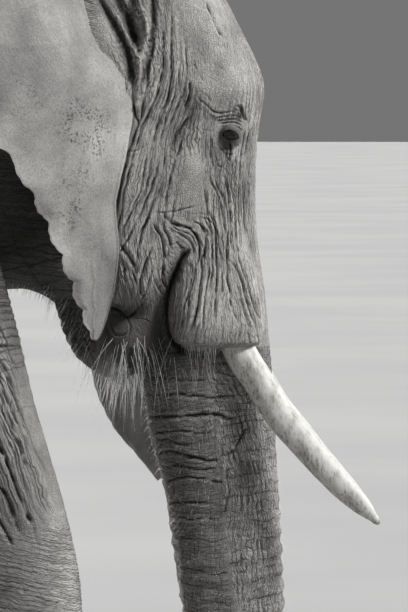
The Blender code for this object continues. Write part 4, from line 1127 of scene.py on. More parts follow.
def take_faces(source, chosen, name, layers):
    """A new object of the chosen faces, with the source's normals and the layers of values at its points."""
    count = len(source.polygons)
    start, total = np.empty(count, np.int32), np.empty(count, np.int32)
    source.polygons.foreach_get("loop_start", start)
    source.polygons.foreach_get("loop_total", total)
    corner = np.empty(len(source.loops), np.int32)
    source.loops.foreach_get("vertex_index", corner)
    kept = np.repeat(chosen, total)
    used, new_corner = np.unique(corner[kept], return_inverse=True)
    sizes = total[chosen]
    mesh = bpy.data.meshes.new(name)
    mesh.vertices.add(len(used))
    mesh.loops.add(len(new_corner))
    mesh.polygons.add(len(sizes))
    mesh.vertices.foreach_set("co", points_of(source)[used].astype(np.float32).ravel())
    mesh.loops.foreach_set("vertex_index", new_corner.astype(np.int32).ravel())
    mesh.polygons.foreach_set("loop_start", np.concatenate([[0], np.cumsum(sizes)[:-1]]).astype(np.int32))
    mesh.update(calc_edges=True)
    mesh.shade_smooth()
    mesh.normals_split_custom_set_from_vertices(normals_of(source)[used].astype(np.float32))
    for layer, values in layers.items():
        add_layer(mesh, layer, values[used])
    return in_scene(name, mesh)


PIECES = {
    "skin_head_right": ["head"],
    "skin_head_left": ["head"],
    "skin_trunk": ["trunk_upper", "trunk_middle", "trunk_tip"],
    "skin_neck": ["neck"],
    "skin_chest": ["chest"],
    "skin_rump_right": ["rump", "tail", "leg_hind_right", "foot_hind_right"],
    "skin_foreleg_right": ["leg_front_right", "foot_front_right"],
    "skin_foreleg_left": ["leg_front_left", "foot_front_left"],
    "skin_cheek_right": ["head", "lower_jaw"],
    "skin_rump_left": ["rump", "leg_hind_left", "foot_hind_left"],
}
middle = np.empty(len(skin.data.polygons) * 3, np.float32)
skin.data.polygons.foreach_get("center", middle)
region = region_of(middle.reshape(-1, 3) - SHIFT)
# the tone layer holds the hide's own tone together with painted shade and painted light
layers = {"dark": dark, "tone_and_painted_light": tone_and_painted_light, "cross": cross, "flow": flow}
skins = {}
for number, (name, nodes) in enumerate(PIECES.items()):
    piece = take_faces(skin.data, region == number, name, layers)
    skins[name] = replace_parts(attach(piece, "root"), *nodes)
    print(name, sum(len(face.vertices) - 2 for face in piece.data.polygons), "triangles")
bpy.data.objects.remove(skin)
# %% [markdown]
# ## Finishes
# The hide is dry, dull and grey. Long wrinkles follow the phase that the mesh carries, and a fine net of
# cracks covers the rest. One node group serves every hide, so an ear and a leg differ only by numbers.
# %% Node helpers
def add_node(tree, kind, **settings):
    """A node of that kind. A setting named after a socket fills it, or links it if it is a socket itself."""
    return fill(tree, tree.nodes.new(kind), **settings)


def fill(tree, made, **settings):
    """Fills or links the sockets named, and sets what is named after set_."""
    for name, value in settings.items():
        plain = name.replace("_", " ")
        socket = next((s for s in made.inputs if s.name.lower() == plain.lower() and s.enabled), None)
        if name.startswith("set_"):
            setattr(made, name[4:], value)
        elif isinstance(value, bpy.types.NodeSocket):
            tree.links.new(value, socket)
        else:
            socket.default_value = value
    return made


def maths(tree, operation, a, b=None, clamp=False):
    """One operation on one or two numbers or sockets."""
    made = tree.nodes.new("ShaderNodeMath")
    made.operation, made.use_clamp = operation, clamp
    for socket, value in zip(made.inputs, (a, b)):
        if isinstance(value, bpy.types.NodeSocket):
            tree.links.new(value, socket)
        elif value is not None:
            socket.default_value = value
    return made.outputs[0]


def times(tree, a, b, clamp=False):
    """The product of two numbers or sockets."""
    return maths(tree, "MULTIPLY", a, b, clamp)


def plus(tree, a, b, clamp=False):
    """The sum of two numbers or sockets."""
    return maths(tree, "ADD", a, b, clamp)


def layer_of(tree, name):
    """The number that the mesh keeps at its points by that name."""
    return add_node(tree, "ShaderNodeAttribute", set_attribute_name=name).outputs["Fac"]


def clouds(tree, place, scale, detail, roughness=0.5):
    """Soft noise from 0 to 1, so many lumps to the metre, with finer ones over them."""
    made = add_node(tree, "ShaderNodeTexNoise", Vector=place, Scale=scale, Detail=detail, Roughness=roughness)
    return made.outputs[0]


def bumped(tree, height, distance, strength):
    """Normals as if the surface rose by distance x height."""
    bump = add_node(tree, "ShaderNodeBump", Height=height, Distance=distance, Strength=strength)
    return bump.outputs["Normal"]


def new_material(name):
    """An empty finish: the material, its nodes, its shader and the place of each point on the animal."""
    material = bpy.data.materials.new(name)
    material.use_nodes = True
    tree = material.node_tree
    place = tree.nodes.new("ShaderNodeTexCoord").outputs["Object"]
    return material, tree, tree.nodes["Principled BSDF"], place


def fade(tree, value, low, high, to_low=0.0, to_high=1.0):
    """A value carried smoothly from one range to another."""
    made = tree.nodes.new("ShaderNodeMapRange")
    made.interpolation_type = "SMOOTHSTEP"
    tree.links.new(value, made.inputs["Value"])
    for name, number in (("From Min", low), ("From Max", high), ("To Min", to_low), ("To Max", to_high)):
        made.inputs[name].default_value = number
    return made.outputs["Result"]


def new_group(name, inputs, outputs):
    """An empty node group with a place and numbers for inputs, and numbers for outputs."""
    tree = bpy.data.node_groups.new(name, "ShaderNodeTree")
    tree.interface.new_socket("Place", in_out="INPUT", socket_type="NodeSocketVector")
    for socket, value in inputs.items():
        tree.interface.new_socket(socket, in_out="INPUT", socket_type="NodeSocketFloat").default_value = value
    for socket in outputs:
        tree.interface.new_socket(socket, in_out="OUTPUT", socket_type="NodeSocketFloat")
    return tree, tree.nodes.new("NodeGroupInput").outputs, tree.nodes.new("NodeGroupOutput").inputs


def wrinkle_lines(tree, phase, along, seed, width):
    """Lines at every whole number of the phase, each broken into pieces of its own along its length."""
    number = maths(tree, "ROUND", phase)
    gap = maths(tree, "ABSOLUTE", maths(tree, "SUBTRACT", phase, number))
    where = add_node(tree, "ShaderNodeCombineXYZ", X=times(tree, number, 7.31), Y=along, Z=seed)
    strength = fade(tree, clouds(tree, where.outputs[0], 1.0, 1.0), 0.36, 0.58)
    return times(tree, fade(tree, gap, 0.0, width, 1.0, 0.0), strength)


# lean, scale, width, share and seed of the three sets of long wrinkles
WRINKLE_SETS = [(0.16, 1.0, 0.17, 1.0, 1.5), (-0.22, 1.0, 0.15, 0.9, 6.5), (0.05, 2.0, 0.24, 0.7, 11.5)]


def hide_group():
    """Long wrinkles that cross at a slant, a net of fine cracks, mottling, specks and small pits."""
    outputs = ["Long", "Fine", "Mottle", "Speckle", "Pits"]
    tree, given, out = new_group("creased_hide", {"Fine Cell": 0.006}, outputs)
    flow = add_node(tree, "ShaderNodeAttribute", set_attribute_name="flow")
    parts = add_node(tree, "ShaderNodeSeparateXYZ", Vector=flow.outputs["Vector"])
    bend = add_node(tree, "ShaderNodeTexNoise", Vector=given["Place"], Scale=48.0, Detail=2.0)
    across = plus(tree, parts.outputs["X"], times(tree, bend.outputs[0], 0.7))
    total = None
    for slant, scale, width, share, seed in WRINKLE_SETS:
        leaned = times(tree, parts.outputs["Y"], slant)
        phase = times(tree, plus(tree, across, leaned), scale)
        lines = times(tree, wrinkle_lines(tree, phase, parts.outputs["Y"], seed, width), share)
        total = lines if total is None else maths(tree, "MAXIMUM", total, lines)
    aside = plus(tree, parts.outputs["Y"], times(tree, bend.outputs[0], 0.8))
    lines = wrinkle_lines(tree, aside, times(tree, across, 0.6), 3.5, 0.16)
    lines = times(tree, lines, layer_of(tree, "cross"))
    total = maths(tree, "MAXIMUM", total, lines)
    tree.links.new(times(tree, total, parts.outputs["Z"], clamp=True), out["Long"])
    long_way = times(tree, parts.outputs["Y"], 2.4)
    drawn = add_node(tree, "ShaderNodeCombineXYZ", X=times(tree, across, 2.1), Y=long_way)
    small = add_node(tree, "ShaderNodeTexVoronoi", set_voronoi_dimensions="2D")
    fill(tree, small, set_feature="DISTANCE_TO_EDGE", Vector=drawn.outputs[0], Scale=1.0)
    pebbles = fade(tree, small.outputs["Distance"], 0.0, 0.24, 1.0, 0.0)
    bent = add_node(tree, "ShaderNodeVectorMath", set_operation="MULTIPLY_ADD")
    tree.links.new(bend.outputs["Color"], bent.inputs[0])
    bent.inputs[1].default_value = (0.006, 0.006, 0.006)
    tree.links.new(given["Place"], bent.inputs[2])
    size = maths(tree, "DIVIDE", 1.0, given["Fine Cell"])
    cells = add_node(tree, "ShaderNodeTexVoronoi", set_feature="DISTANCE_TO_EDGE")
    fill(tree, cells, Vector=bent.outputs[0], Scale=size)
    net = fade(tree, cells.outputs["Distance"], 0.0, 0.26, 1.0, 0.0)
    mix = add_node(tree, "ShaderNodeMix", Factor=parts.outputs["Z"], A=net, B=pebbles)
    tree.links.new(mix.outputs["Result"], out["Fine"])
    tree.links.new(clouds(tree, given["Place"], 7.0, 5.0, 0.62), out["Mottle"])
    tree.links.new(clouds(tree, given["Place"], 170.0, 3.0, 0.7), out["Speckle"])
    pits = fade(tree, clouds(tree, given["Place"], 140.0, 3.0, 0.6), 0.52, 0.60)
    tree.links.new(times(tree, pits, layer_of(tree, "pitted")), out["Pits"])
    return tree


creased_hide = hide_group()


def grey_ramp(tree, value, dark_grey, light_grey):
    """A warm grey between two greys."""
    mix = tree.nodes.new("ShaderNodeMix")
    mix.data_type = "RGBA"
    tree.links.new(value, mix.inputs["Factor"])
    mix.inputs["A"].default_value = (*dark_grey, 1)
    mix.inputs["B"].default_value = (*light_grey, 1)
    return mix.outputs["Result"]


def hide_material(name, dark_grey, light_grey, fine_cell, long_depth, net=0.72):
    """Hide: light where it stands proud, dark in creases and cracks as dust and painted shade, with a bump
    that sinks the cracks.
    """
    material, tree, shader, place = new_material(name)
    hide = tree.nodes.new("ShaderNodeGroup")
    hide.node_tree = creased_hide
    hide.inputs["Fine Cell"].default_value = fine_cell
    tree.links.new(place, hide.inputs["Place"])
    # the tone layer brings the painted shade and painted light set on the mesh into the colour
    light = times(tree, fade(tree, hide.outputs["Mottle"], 0.30, 0.70, 0.72, 1.0), layer_of(tree, "tone_and_painted_light"))
    light = times(tree, light, fade(tree, hide.outputs["Speckle"], 0.34, 0.62, 0.78, 1.0))
    light = times(tree, light, fade(tree, hide.outputs["Pits"], 0.0, 1.0, 1.0, 0.30))
    # the dark layer, the long wrinkles and the fine cracks darken the colour as dust with painted shade
    light = times(tree, light, fade(tree, layer_of(tree, "dark"), 0.05, 0.90, 1.0, 0.14))
    light = times(tree, light, fade(tree, hide.outputs["Long"], 0.0, 1.0, 1.0, 0.32))
    light = times(tree, light, fade(tree, hide.outputs["Fine"], 0.0, 1.0, 1.0, net), clamp=True)
    depth = times(tree, hide.outputs["Long"], -1.0)
    depth = plus(tree, depth, times(tree, hide.outputs["Fine"], -0.45))
    depth = plus(tree, depth, times(tree, hide.outputs["Speckle"], 0.30))
    fill(
        tree,
        shader,
        Base_Color=grey_ramp(tree, light, dark_grey, light_grey),
        Roughness=fade(tree, hide.outputs["Speckle"], 0.3, 0.7, 0.92, 0.74),
        Specular_IOR_Level=0.3,
        Normal=bumped(tree, depth, long_depth, 0.9),
    )
    return material


hide = hide_material("hide", (0.014, 0.0135, 0.013), (0.50, 0.487, 0.470), 0.0065, 0.0034)
for piece in skins.values():
    piece.data.materials.append(hide)
# %% [markdown]
# ## Ears
# An elephant's ear is a sheet of hide over thin gristle, as thick as a thumb at its root and thinner than a
# finger at its rim. It is drawn as a surface between its front and back edges, with swellings where veins
# run, a rolled front rim, and a scalloped hem, and then given two sides and a rounded edge.
# %% Ear sheets
EAR_ROWS, EAR_COLUMNS = 200, 104
EAR_HALF = 0.0085  # half thickness of the sheet
VEIN_STARTS = (-1.35, -1.05, -0.75, -0.45, -0.1, 0.25)  # angle at which each vein sets out
EAR_SPECKLES = [((0.990, 1.970), (0.075, 0.130)), ((0.955, 1.790), (0.050, 0.080))]


def ear_sheet(side, front_edge, back_edge, swing):
    """Points of the ear's middle sheet, v down from its top and u back from its front edge, with how proud
    its relief stands. The root follows the head. The rest stands off it and swings outwards."""
    v, u = np.linspace(0, 1, EAR_ROWS), np.linspace(0, 1, EAR_COLUMNS)
    front, back = through(front_edge, EAR_ROWS), through(back_edge, EAR_ROWS)
    root_y = np.interp(front[:, 1], *zip(*EAR_ROOT))
    ends = np.clip(3 * v, 0, 1) * np.clip(8 - 8 * v, 0, 1)
    scallops = np.abs(np.sin(14 * math.pi * v + 0.8 * np.sin(5 * v)))
    nicks = 0.003 * np.abs(np.sin(41 * math.pi * v + 1))
    hem = (1.4 if side == RIGHT else 0.5) * EAR_SCALLOP * scallops + nicks
    along = unit(np.gradient(back, axis=0))
    back += (hem * ends)[:, None] * np.column_stack([along[:, 1], -along[:, 0]])
    flat = front[:, None] * (1 - u[:, None]) + back[:, None] * u[:, None]
    flat[:, :, 1] += EAR_TOP_RISE * np.outer(np.clip(1 - 4 * v, 0, 1), np.sin(math.pi * u))
    behind = front[:, None, 0] - flat[:, :, 0]
    hanging = np.clip((v - 0.42) / 0.12, 0, 1)[:, None]
    off_root = np.clip(behind / 0.16, 0, 1) * (1 - hanging) + hanging
    stand_off = root_y[:, None] * (1 - off_root) + EAR_PLANE * off_root
    cup = 0.035 * np.sin(math.pi * np.clip(behind / 0.75, 0, 1))
    turn = math.radians(swing)
    x = front[:, None, 0] - behind * math.cos(turn)
    y = stand_off + behind * math.sin(turn) + cup
    return np.stack([x, side * y, flat[:, :, 1]], axis=-1), u, v


def ear_object(name, side, front_edge, back_edge, swing):
    """The sheet thickened: outer and inner sides carry veins and ripples, and round off at the rim."""
    sheet, u, v = ear_sheet(side, front_edge, back_edge, swing)
    out = unit(np.cross(np.gradient(sheet, axis=1), np.gradient(sheet, axis=0))) * -side
    out *= np.sign(np.mean(out[..., 1]) * side)
    u_grid, v_grid = np.meshgrid(u, v)
    flat = sheet.reshape(-1, 3)
    ripples = 0.0030 * noise(flat, 0.11, 70) + 0.0016 * noise(flat, 0.035, 71)
    ripples = ripples.reshape(u_grid.shape)
    hem_waves = 0.010 * np.sin(9 * math.pi * v_grid) * rise(u_grid, 0.80, 1.0) * rise(v_grid, 0.1, 0.3)
    fan = np.arctan2(sheet[..., 2] - 2.25, 1.20 - sheet[..., 0])
    veins = np.zeros_like(u_grid)
    for number, start in enumerate(VEIN_STARTS):
        line = start + 0.10 * np.sin(5 * u_grid + number)
        veins += bell(fan - line, 0.022) * rise(u_grid, 0.05, 0.2) * (1 - 0.8 * u_grid)
    roll = 0.007 * bell(u_grid * 0.6, 0.016) * (v_grid < 0.98)
    edge = np.minimum(np.minimum(u_grid, 1 - u_grid) * EAR_COLUMNS, np.minimum(v_grid, 1 - v_grid) * EAR_ROWS)
    body = np.sqrt(np.clip(1 - (1 - np.clip(edge / 2.5, 0, 1)) ** 2, 0, 1))
    thick = EAR_HALF * body * np.minimum(1, np.minimum(1.25 - u_grid, 1.15 - 0.5 * v_grid))
    middle = sheet + out * (ripples + hem_waves)[..., None]
    outer = middle + out * (thick + body * (roll + 0.0022 * veins))[..., None]
    inner = middle - out * (thick + body * 0.0015 * veins)[..., None]
    count = EAR_ROWS * EAR_COLUMNS
    index = np.arange(count).reshape(EAR_ROWS, EAR_COLUMNS)
    a, b, c, d = index[:-1, :-1], index[:-1, 1:], index[1:, 1:], index[1:, :-1]
    quads = np.stack([a, b, c, d], axis=-1).reshape(-1, 4)
    rim = np.concatenate([index[0, :], index[1:, -1], index[-1, -2::-1], index[-2:0:-1, 0]])
    nxt = np.roll(rim, -1)
    walls = np.stack([rim, rim + count, nxt + count, nxt], axis=-1)
    faces = np.concatenate([quads, quads[:, ::-1] + count, walls])
    points = np.concatenate([outer.reshape(-1, 3), inner.reshape(-1, 3)])
    first = faces[len(quads) // 2]
    turned = np.cross(points[first[1]] - points[first[0]], points[first[2]] - points[first[0]])
    if turned @ out.reshape(-1, 3)[first[0]] < 0:
        faces = faces[:, ::-1]
    obj = new_object(name, points, faces.tolist())
    streaks = noise(flat * (1, 1, 0.25), 0.020, 72).reshape(u_grid.shape) * rise(v_grid, 0.55, 0.75)
    patches = noise(flat, 0.10, 73).reshape(u_grid.shape)
    rim = rise(u_grid, 0.93, 0.99) + rise(-u_grid, -0.03, -0.005) + rise(v_grid, 0.97, 0.995)
    shade = 1 - 0.08 * veins + 0.10 * streaks + 0.24 * patches
    shade -= 0.25 * rise(u_grid, 0.45, 0.95) * rise(-v_grid, -0.4, -0.2)
    shade -= 0.30 * near_spot(flat[:, [0, 2]], [((0.76, 2.20), (0.16, 0.19))]).reshape(u_grid.shape)
    shade += 0.18 * noise(flat * (1, 1, 0.35), 0.045, 76).reshape(u_grid.shape)
    # the far ear is darkened as painted shade, and its rim and hem get painted rim light; the near ear's rim
    # a little
    kept, rim_light, hem_light = (0.58, 0.40, 0.60) if side == LEFT else (0.86, 0.15, 0.0)
    shade = shade * kept + rim_light * rim
    shade += hem_light * rise(u_grid, 0.975, 0.995) * rise(v_grid, 0.2, 0.5)
    pitted = np.maximum(0.6 * rise(noise(flat, 0.14, 75), 0.0, 0.5), near_spot(flat[:, [0, 2]], EAR_SPECKLES))
    pitted = (pitted * rise(noise(flat, 0.030, 77), -0.5, 0.3)).reshape(u_grid.shape)
    for layer, values in (("pitted", pitted), ("tone_and_painted_light", shade)):
        add_layer(obj.data, layer, np.tile(values.ravel(), 2))
    strength = 0.24 + 0.16 * rise(v_grid, 0.62, 0.80)
    down = np.stack([u_grid / 0.030 + 8 * side, v_grid / 0.060, strength], axis=-1)
    add_layer(obj.data, "flow", np.tile(down.reshape(-1, 3), (2, 1)))
    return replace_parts(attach(obj, "root"), name.replace("skin_", ""))


ears = [ear_object("skin_" + name, *shape) for name, shape in EARS.items()]
ear_hide = hide_material("ear_hide", (0.030, 0.029, 0.028), (0.56, 0.548, 0.53), 0.0060, 0.0010, 0.90)
for ear in ears:
    ear.data.materials.append(ear_hide)
    print(ear.name, 2 * len(ear.data.polygons), "triangles")
# %% [markdown]
# ## Tusks, toenails and eyes
# A tusk is a front tooth that never stops growing: a long cone of ivory, bent down and out, worn smooth and
# stained by bark and mud. It is a circle carried along a curve, with shallow furrows along its length.
# %% Tusks
def tusk_object(name, side):
    """Circles round the tusk's curve, their radius waved by long furrows and short rings:
    r x (1 + 0.020 x noise(angle, length) + 0.014 x noise(angle, 12 x length))."""
    x, y, z, radius = through(TUSK, 200).T
    z = z - TUSK_DROOP[side] * (x - x[0])
    round_tip = np.sqrt(np.clip(1 - np.linspace(0, 1, 14) ** 2, 0.0004, 1))
    radius = np.concatenate([radius[:-14], radius[-14] * round_tip])
    grid = rings(np.column_stack([x, side * y, z]), radius, radius, sides=64, power=2.0)
    centre = grid.mean(axis=1, keepdims=True)
    length = np.linspace(0, 1, 200)[:, None] + np.zeros((1, 64))
    angle = np.linspace(0, 2 * math.pi, 64, endpoint=False)[None] + np.zeros((200, 1))
    place = np.stack([np.cos(angle), np.sin(angle), 0.5 * length], axis=-1).reshape(-1, 3)
    furrows = 0.020 * noise(place, 0.22, 80) + 0.014 * noise(place * (1, 1, 12), 0.5, 81)
    grid = centre + (grid - centre) * (1 + furrows.reshape(200, 64, 1))
    obj = new_object(name, *tube(grid))
    add_layer(obj.data, "length", length.ravel())
    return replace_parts(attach(obj, "root"), name.replace("ivory_", ""))


def ivory_material():
    """Cream ivory, greyer below and at the tip, flecked with stains drawn out along the tusk."""
    material, tree, shader, place = new_material("worn_ivory")
    lean = (0, math.radians(-47), 0)  # the tusk's own lean
    turned = add_node(tree, "ShaderNodeMapping", Vector=place, Rotation=lean, Scale=(1, 1, 0.4)).outputs[0]
    patches = clouds(tree, turned, 26.0, 6.0, 0.68)
    flecks = clouds(tree, turned, 130.0, 3.0, 0.7)
    facing = tree.nodes.new("ShaderNodeNewGeometry").outputs["Normal"]
    up = add_node(tree, "ShaderNodeSeparateXYZ", Vector=facing).outputs["Z"]
    # darker where the tusk faces down: stains with painted shade
    below = fade(tree, up, -0.5, 0.55, 1.0, 0.0)
    length = layer_of(tree, "length")
    tip = fade(tree, length, 0.93, 1.0)
    root = fade(tree, length, 0.10, 0.30, 0.7, 0.0)
    # greyer below, at the tip and at the root: stains, with painted shade below
    painted_light_and_stain = plus(tree, times(tree, below, 0.42), times(tree, tip, 0.5))
    painted_light_and_stain = plus(tree, painted_light_and_stain, times(tree, root, 0.35))
    blotch_and_shade = plus(tree, fade(tree, patches, 0.46, 0.70), painted_light_and_stain)
    blotch_and_shade = times(tree, blotch_and_shade, fade(tree, patches, 0.36, 0.60, 0.30, 0.62))
    fleck = times(tree, fade(tree, flecks, 0.50, 0.66), plus(tree, below, 0.45))
    stain_and_shade = plus(tree, blotch_and_shade, times(tree, fleck, 0.6), clamp=True)
    colour = grey_ramp(tree, stain_and_shade, (0.58, 0.57, 0.545), (0.23, 0.22, 0.203))
    rough = fade(tree, stain_and_shade, 0.0, 1.0, 0.50, 0.78)
    fill(tree, shader, Base_Color=colour, Roughness=rough, Normal=bumped(tree, patches, 0.0015, 0.5))
    return material


ivory = ivory_material()
for side, word in ((RIGHT, "right"), (LEFT, "left")):
    tusk = tusk_object("ivory_tusk_" + word, side)
    tusk.data.materials.append(ivory)
    print(tusk.name, 2 * len(tusk.data.polygons), "triangles")

# %% Toenails
def nail_object(name, foot, degrees):
    """A shield bent round the foot's edge: a flattened dome, |u|^2.6 + |v|^2.6 = 1, ridged across."""
    side, foot_x = FEET[foot]
    kind = foot.split("_")[0]
    _, _, offset, depth, width = (FORELEG if kind == "front" else HINDLEG)[1]
    turn = math.radians(degrees)
    place = np.array((foot_x + depth * math.cos(turn), side * offset + width * math.sin(turn), 0.050))
    r, a = np.linspace(0, 1, 14)[1:], np.linspace(0, 2 * math.pi, 40, endpoint=False)
    round_off = (np.abs(np.cos(a)) ** 2.6 + np.abs(np.sin(a)) ** 2.6) ** (-1 / 2.6)
    across = np.outer(r, np.cos(a) * round_off) * NAIL_SIZE[1]
    up = np.outer(r, np.sin(a) * round_off) * NAIL_SIZE[2]
    dome = np.sqrt(np.clip(1 - r**2, 0, 1))[:, None]
    ridges = 0.0007 * np.sin(up / 0.0026 + 2 * across / 0.03) * dome
    out = NAIL_SIZE[0] * dome * (1.05 - 0.25 * np.outer(r, np.sin(a))) + ridges
    out = out - across**2 / 0.30 - up * math.tan(math.radians(14))
    grid = np.stack([out, across, up], axis=-1)
    pole = np.array([[NAIL_SIZE[0] * 1.05, 0, 0]])
    c, s = math.cos(turn), math.sin(turn)
    spin = np.array([[c, s, 0], [-s, c, 0], [0, 0, 1]])
    outer = np.concatenate([pole, grid.reshape(-1, 3)])
    back = grid[-1] - (0.012, 0, 0)
    points = np.concatenate([outer, back, [back.mean(axis=0)]]) @ spin + place
    points[:, 2] = np.maximum(points[:, 2], 0.0015)
    ring = 1 + np.arange(len(r) * 40).reshape(len(r), 40)
    nxt = np.roll(ring, -1, axis=1)
    faces = np.stack([ring[:-1], ring[1:], nxt[1:], nxt[:-1]], axis=-1).reshape(-1, 4).tolist()
    last, end = ring[-1], 1 + len(r) * 40 + np.arange(40)
    faces += [[0, int(p), int(q)] for p, q in zip(ring[0], nxt[0])]
    faces += np.stack([last, end, np.roll(end, -1), np.roll(last, -1)], axis=-1).tolist()
    faces += [[int(q), int(p), len(points) - 1] for p, q in zip(end, np.roll(end, -1))]
    obj = new_object("horn_" + name, points, faces)
    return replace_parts(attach(obj, "root"), name)


def horn_material():
    """Dull horn with fine streaks up and down."""
    material, tree, shader, place = new_material("dull_horn")
    drawn = add_node(tree, "ShaderNodeMapping", Vector=place, Scale=(1, 1, 0.25))
    streaks = clouds(tree, drawn.outputs[0], 180.0, 4.0, 0.6)
    colour = grey_ramp(tree, fade(tree, streaks, 0.35, 0.65), (0.12, 0.11, 0.096), (0.30, 0.284, 0.255))
    rough = fade(tree, streaks, 0.3, 0.7, 0.45, 0.7)
    fill(tree, shader, Base_Color=colour, Roughness=rough, Normal=bumped(tree, streaks, 0.0008, 0.6))
    return material


horn = horn_material()
for foot in FEET:
    for number, degrees in enumerate(NAIL_ANGLES[foot.split("_")[0]], start=1):
        nail_object(f"nail_{foot}_{number}", foot, degrees).data.materials.append(horn)
print("toenails done")

# %% Eyes
EYE_RADIUS = 0.021


def eye_object(name, side):
    """A ball with a clear bulge in front of the iris: radius x (1 + 0.045 x exp(-(v / 0.5)^4)), v being the
    angle to the gaze."""
    v, u = np.linspace(0, math.pi, 49)[1:-1], np.linspace(0, 2 * math.pi, 64, endpoint=False)
    gaze = unit(np.array((0.30, side * 0.94, -0.12)))
    first = unit(np.cross(gaze, (0, 0, 1)))
    second = np.cross(first, gaze)
    bulge = 1 + 0.045 * np.exp(-((v / 0.50) ** 4))
    ring = np.cos(v)[:, None, None] * gaze + np.sin(v)[:, None, None] * (
        np.cos(u)[None, :, None] * first + np.sin(u)[None, :, None] * second
    )
    centre = EYE * (1, side, 1)
    grid = centre + EYE_RADIUS * 0.995 * bulge[:, None, None] * ring
    obj = new_object(name, *tube(grid))
    add_layer(obj.data, "gaze", np.repeat(v, 64))
    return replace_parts(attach(obj, "root"), name.replace("ball_", ""))


def eye_material():
    """Wet and dark: a black pupil and rim round a very dark brown iris with fibres."""
    material, tree, shader, place = new_material("wet_eye")
    angle = layer_of(tree, "gaze")
    fibres = clouds(tree, place, 420.0, 2.0)
    iris = times(tree, fade(tree, angle, 0.20, 0.26), fade(tree, angle, 0.48, 0.60, 1.0, 0.0))
    value = times(tree, iris, fade(tree, fibres, 0.3, 0.7, 0.35, 1.0), clamp=True)
    colour = grey_ramp(tree, value, (0.004, 0.003, 0.003), (0.016, 0.010, 0.006))
    fill(tree, shader, Base_Color=colour, Roughness=0.08, Specular_IOR_Level=0.22, Coat_Weight=0.06)
    return material


wet_eye = eye_material()
for side, word in ((RIGHT, "right"), (LEFT, "left")):
    eye_object("ball_eye_" + word, side).data.materials.append(wet_eye)
# %% [markdown]
# ## Hair
# An elephant is nearly bald, but wiry hairs stand on her chin, lips and trunk, long lashes shade the eyes,
# and the tail ends in a brush of black wires. Each hair is a thin cone of its own, bent by its weight.
# Its root is a point of the skin, and its OFBake map holds the place of that root on the unrolled skin.
# %% Hairs from roots
hair_random = np.random.default_rng(23)
# The animal's middle line from the tail to the trunk: x, height
BODY_LINE = [(-1.65, 1.2), (-1.55, 1.9), (-0.8, 1.85), (0.1, 1.95)]
BODY_LINE += [(0.75, 2.0), (1.12, 1.95), (1.22, 1.65), (1.30, 1.40)]
MIDDLE_LINE = np.concatenate([np.array(BODY_LINE), trunk_line[10:]])


def unrolled(roots):
    """The skin unrolled like a tube: the angle round the middle line, and the way along it, both 0 to 1."""
    gap = np.linalg.norm(roots[:, None, [0, 2]] - MIDDLE_LINE, axis=-1)
    best = gap.argmin(axis=1)
    along = unit(np.gradient(MIDDLE_LINE, axis=0))[best]
    off = roots[:, [0, 2]] - MIDDLE_LINE[best]
    up = off[:, 1] * along[:, 0] - off[:, 0] * along[:, 1]
    way = best + np.sum(off * along, axis=1) / 0.2
    u = 0.5 + np.arctan2(roots[:, 1], up) / (2 * math.pi)
    return np.column_stack([0.01 + 0.98 * u, np.clip(way / len(MIDDLE_LINE), 0.01, 0.985)])


def hair_object(name, roots, aims, lengths, thick, material, droop=0.35, rows=6):
    """One closed cone with three sides for each hair. Its middle line is root + length x (aim x s + droop x
    s^2 downwards), s from 0 to 1, and its radius shrinks as 1 - 0.85 s."""
    s = np.linspace(0, 1, rows)
    aims = unit(aims)
    sag = np.array((0, 0, -1.0)) * droop
    path = roots[:, None] + lengths[:, None, None] * (aims[:, None] * s[:, None] + sag * (s**2)[:, None])
    first = unit(np.cross(aims, hair_random.normal(size=aims.shape)))
    second = np.cross(aims, first)
    angle = 2 * math.pi * np.arange(3) / 3
    ring = first[:, None] * np.cos(angle)[:, None] + second[:, None] * np.sin(angle)[:, None]
    radius = np.asarray(thick)[:, None] * (1 - 0.85 * s)
    points = (path[:, :, None] + ring[:, None] * radius[..., None, None]).reshape(-1, 3)
    count, step = len(roots), rows * 3
    one = []
    for r in range(rows - 1):
        for k in range(3):
            a, b = 3 * r + k, 3 * r + (k + 1) % 3
            one.append([a, b, b + 3, a + 3])
    quads = (np.array(one)[None] + step * np.arange(count)[:, None, None]).reshape(-1, 4)
    root_caps = step * np.arange(count)[:, None] + (2, 1, 0)
    tip_caps = step * np.arange(count)[:, None] + step - 3 + np.arange(3)
    faces = quads.tolist() + root_caps.tolist() + tip_caps.tolist()
    obj = new_object(name, points, faces)
    place = unrolled(roots)
    patch = np.stack([np.tile(np.arange(3) / 3, rows), np.repeat(s, 3)], axis=-1) * 0.003
    at_points = (place[:, None] + patch[None]).reshape(-1, 2)
    corner = np.empty(len(obj.data.loops), np.int32)
    obj.data.loops.foreach_get("vertex_index", corner)
    uvs = obj.data.uv_layers.new(name="OFBake").data
    uvs.foreach_set("uv", at_points[corner].astype(np.float32).ravel())
    obj.data.materials.append(material)
    print(name, count, "hairs,", sum(len(f.vertices) - 2 for f in obj.data.polygons), "triangles")
    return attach(obj, "root")


def hair_material(name, root_grey, tip_grey, glow):
    """Dry wire, darker in streaks. The horn of a pale hair lets light through, so it glows when lit from
    behind."""
    material, tree, shader, place = new_material(name)
    streaks = fade(tree, clouds(tree, place, 90.0, 2.0), 0.35, 0.65)
    fill(tree, shader, Base_Color=grey_ramp(tree, streaks, root_grey, tip_grey), Roughness=0.42)
    fill(tree, shader, Subsurface_Weight=glow, Subsurface_Radius=(0.006, 0.006, 0.006), Subsurface_Scale=1.0)
    return material


# the pale greys are painted light: they stand in for the glow of hairs lit from behind
wiry_hair = hair_material("wiry_hair", (0.55, 0.54, 0.52), (0.92, 0.90, 0.87), 0.9)
black_wire = hair_material("black_wire", (0.012, 0.011, 0.010), (0.05, 0.046, 0.042), 0.0)


# %% Roots picked on the skin
ROOT_SINK = 0.0015  # how deep a hair's root sits in the skin


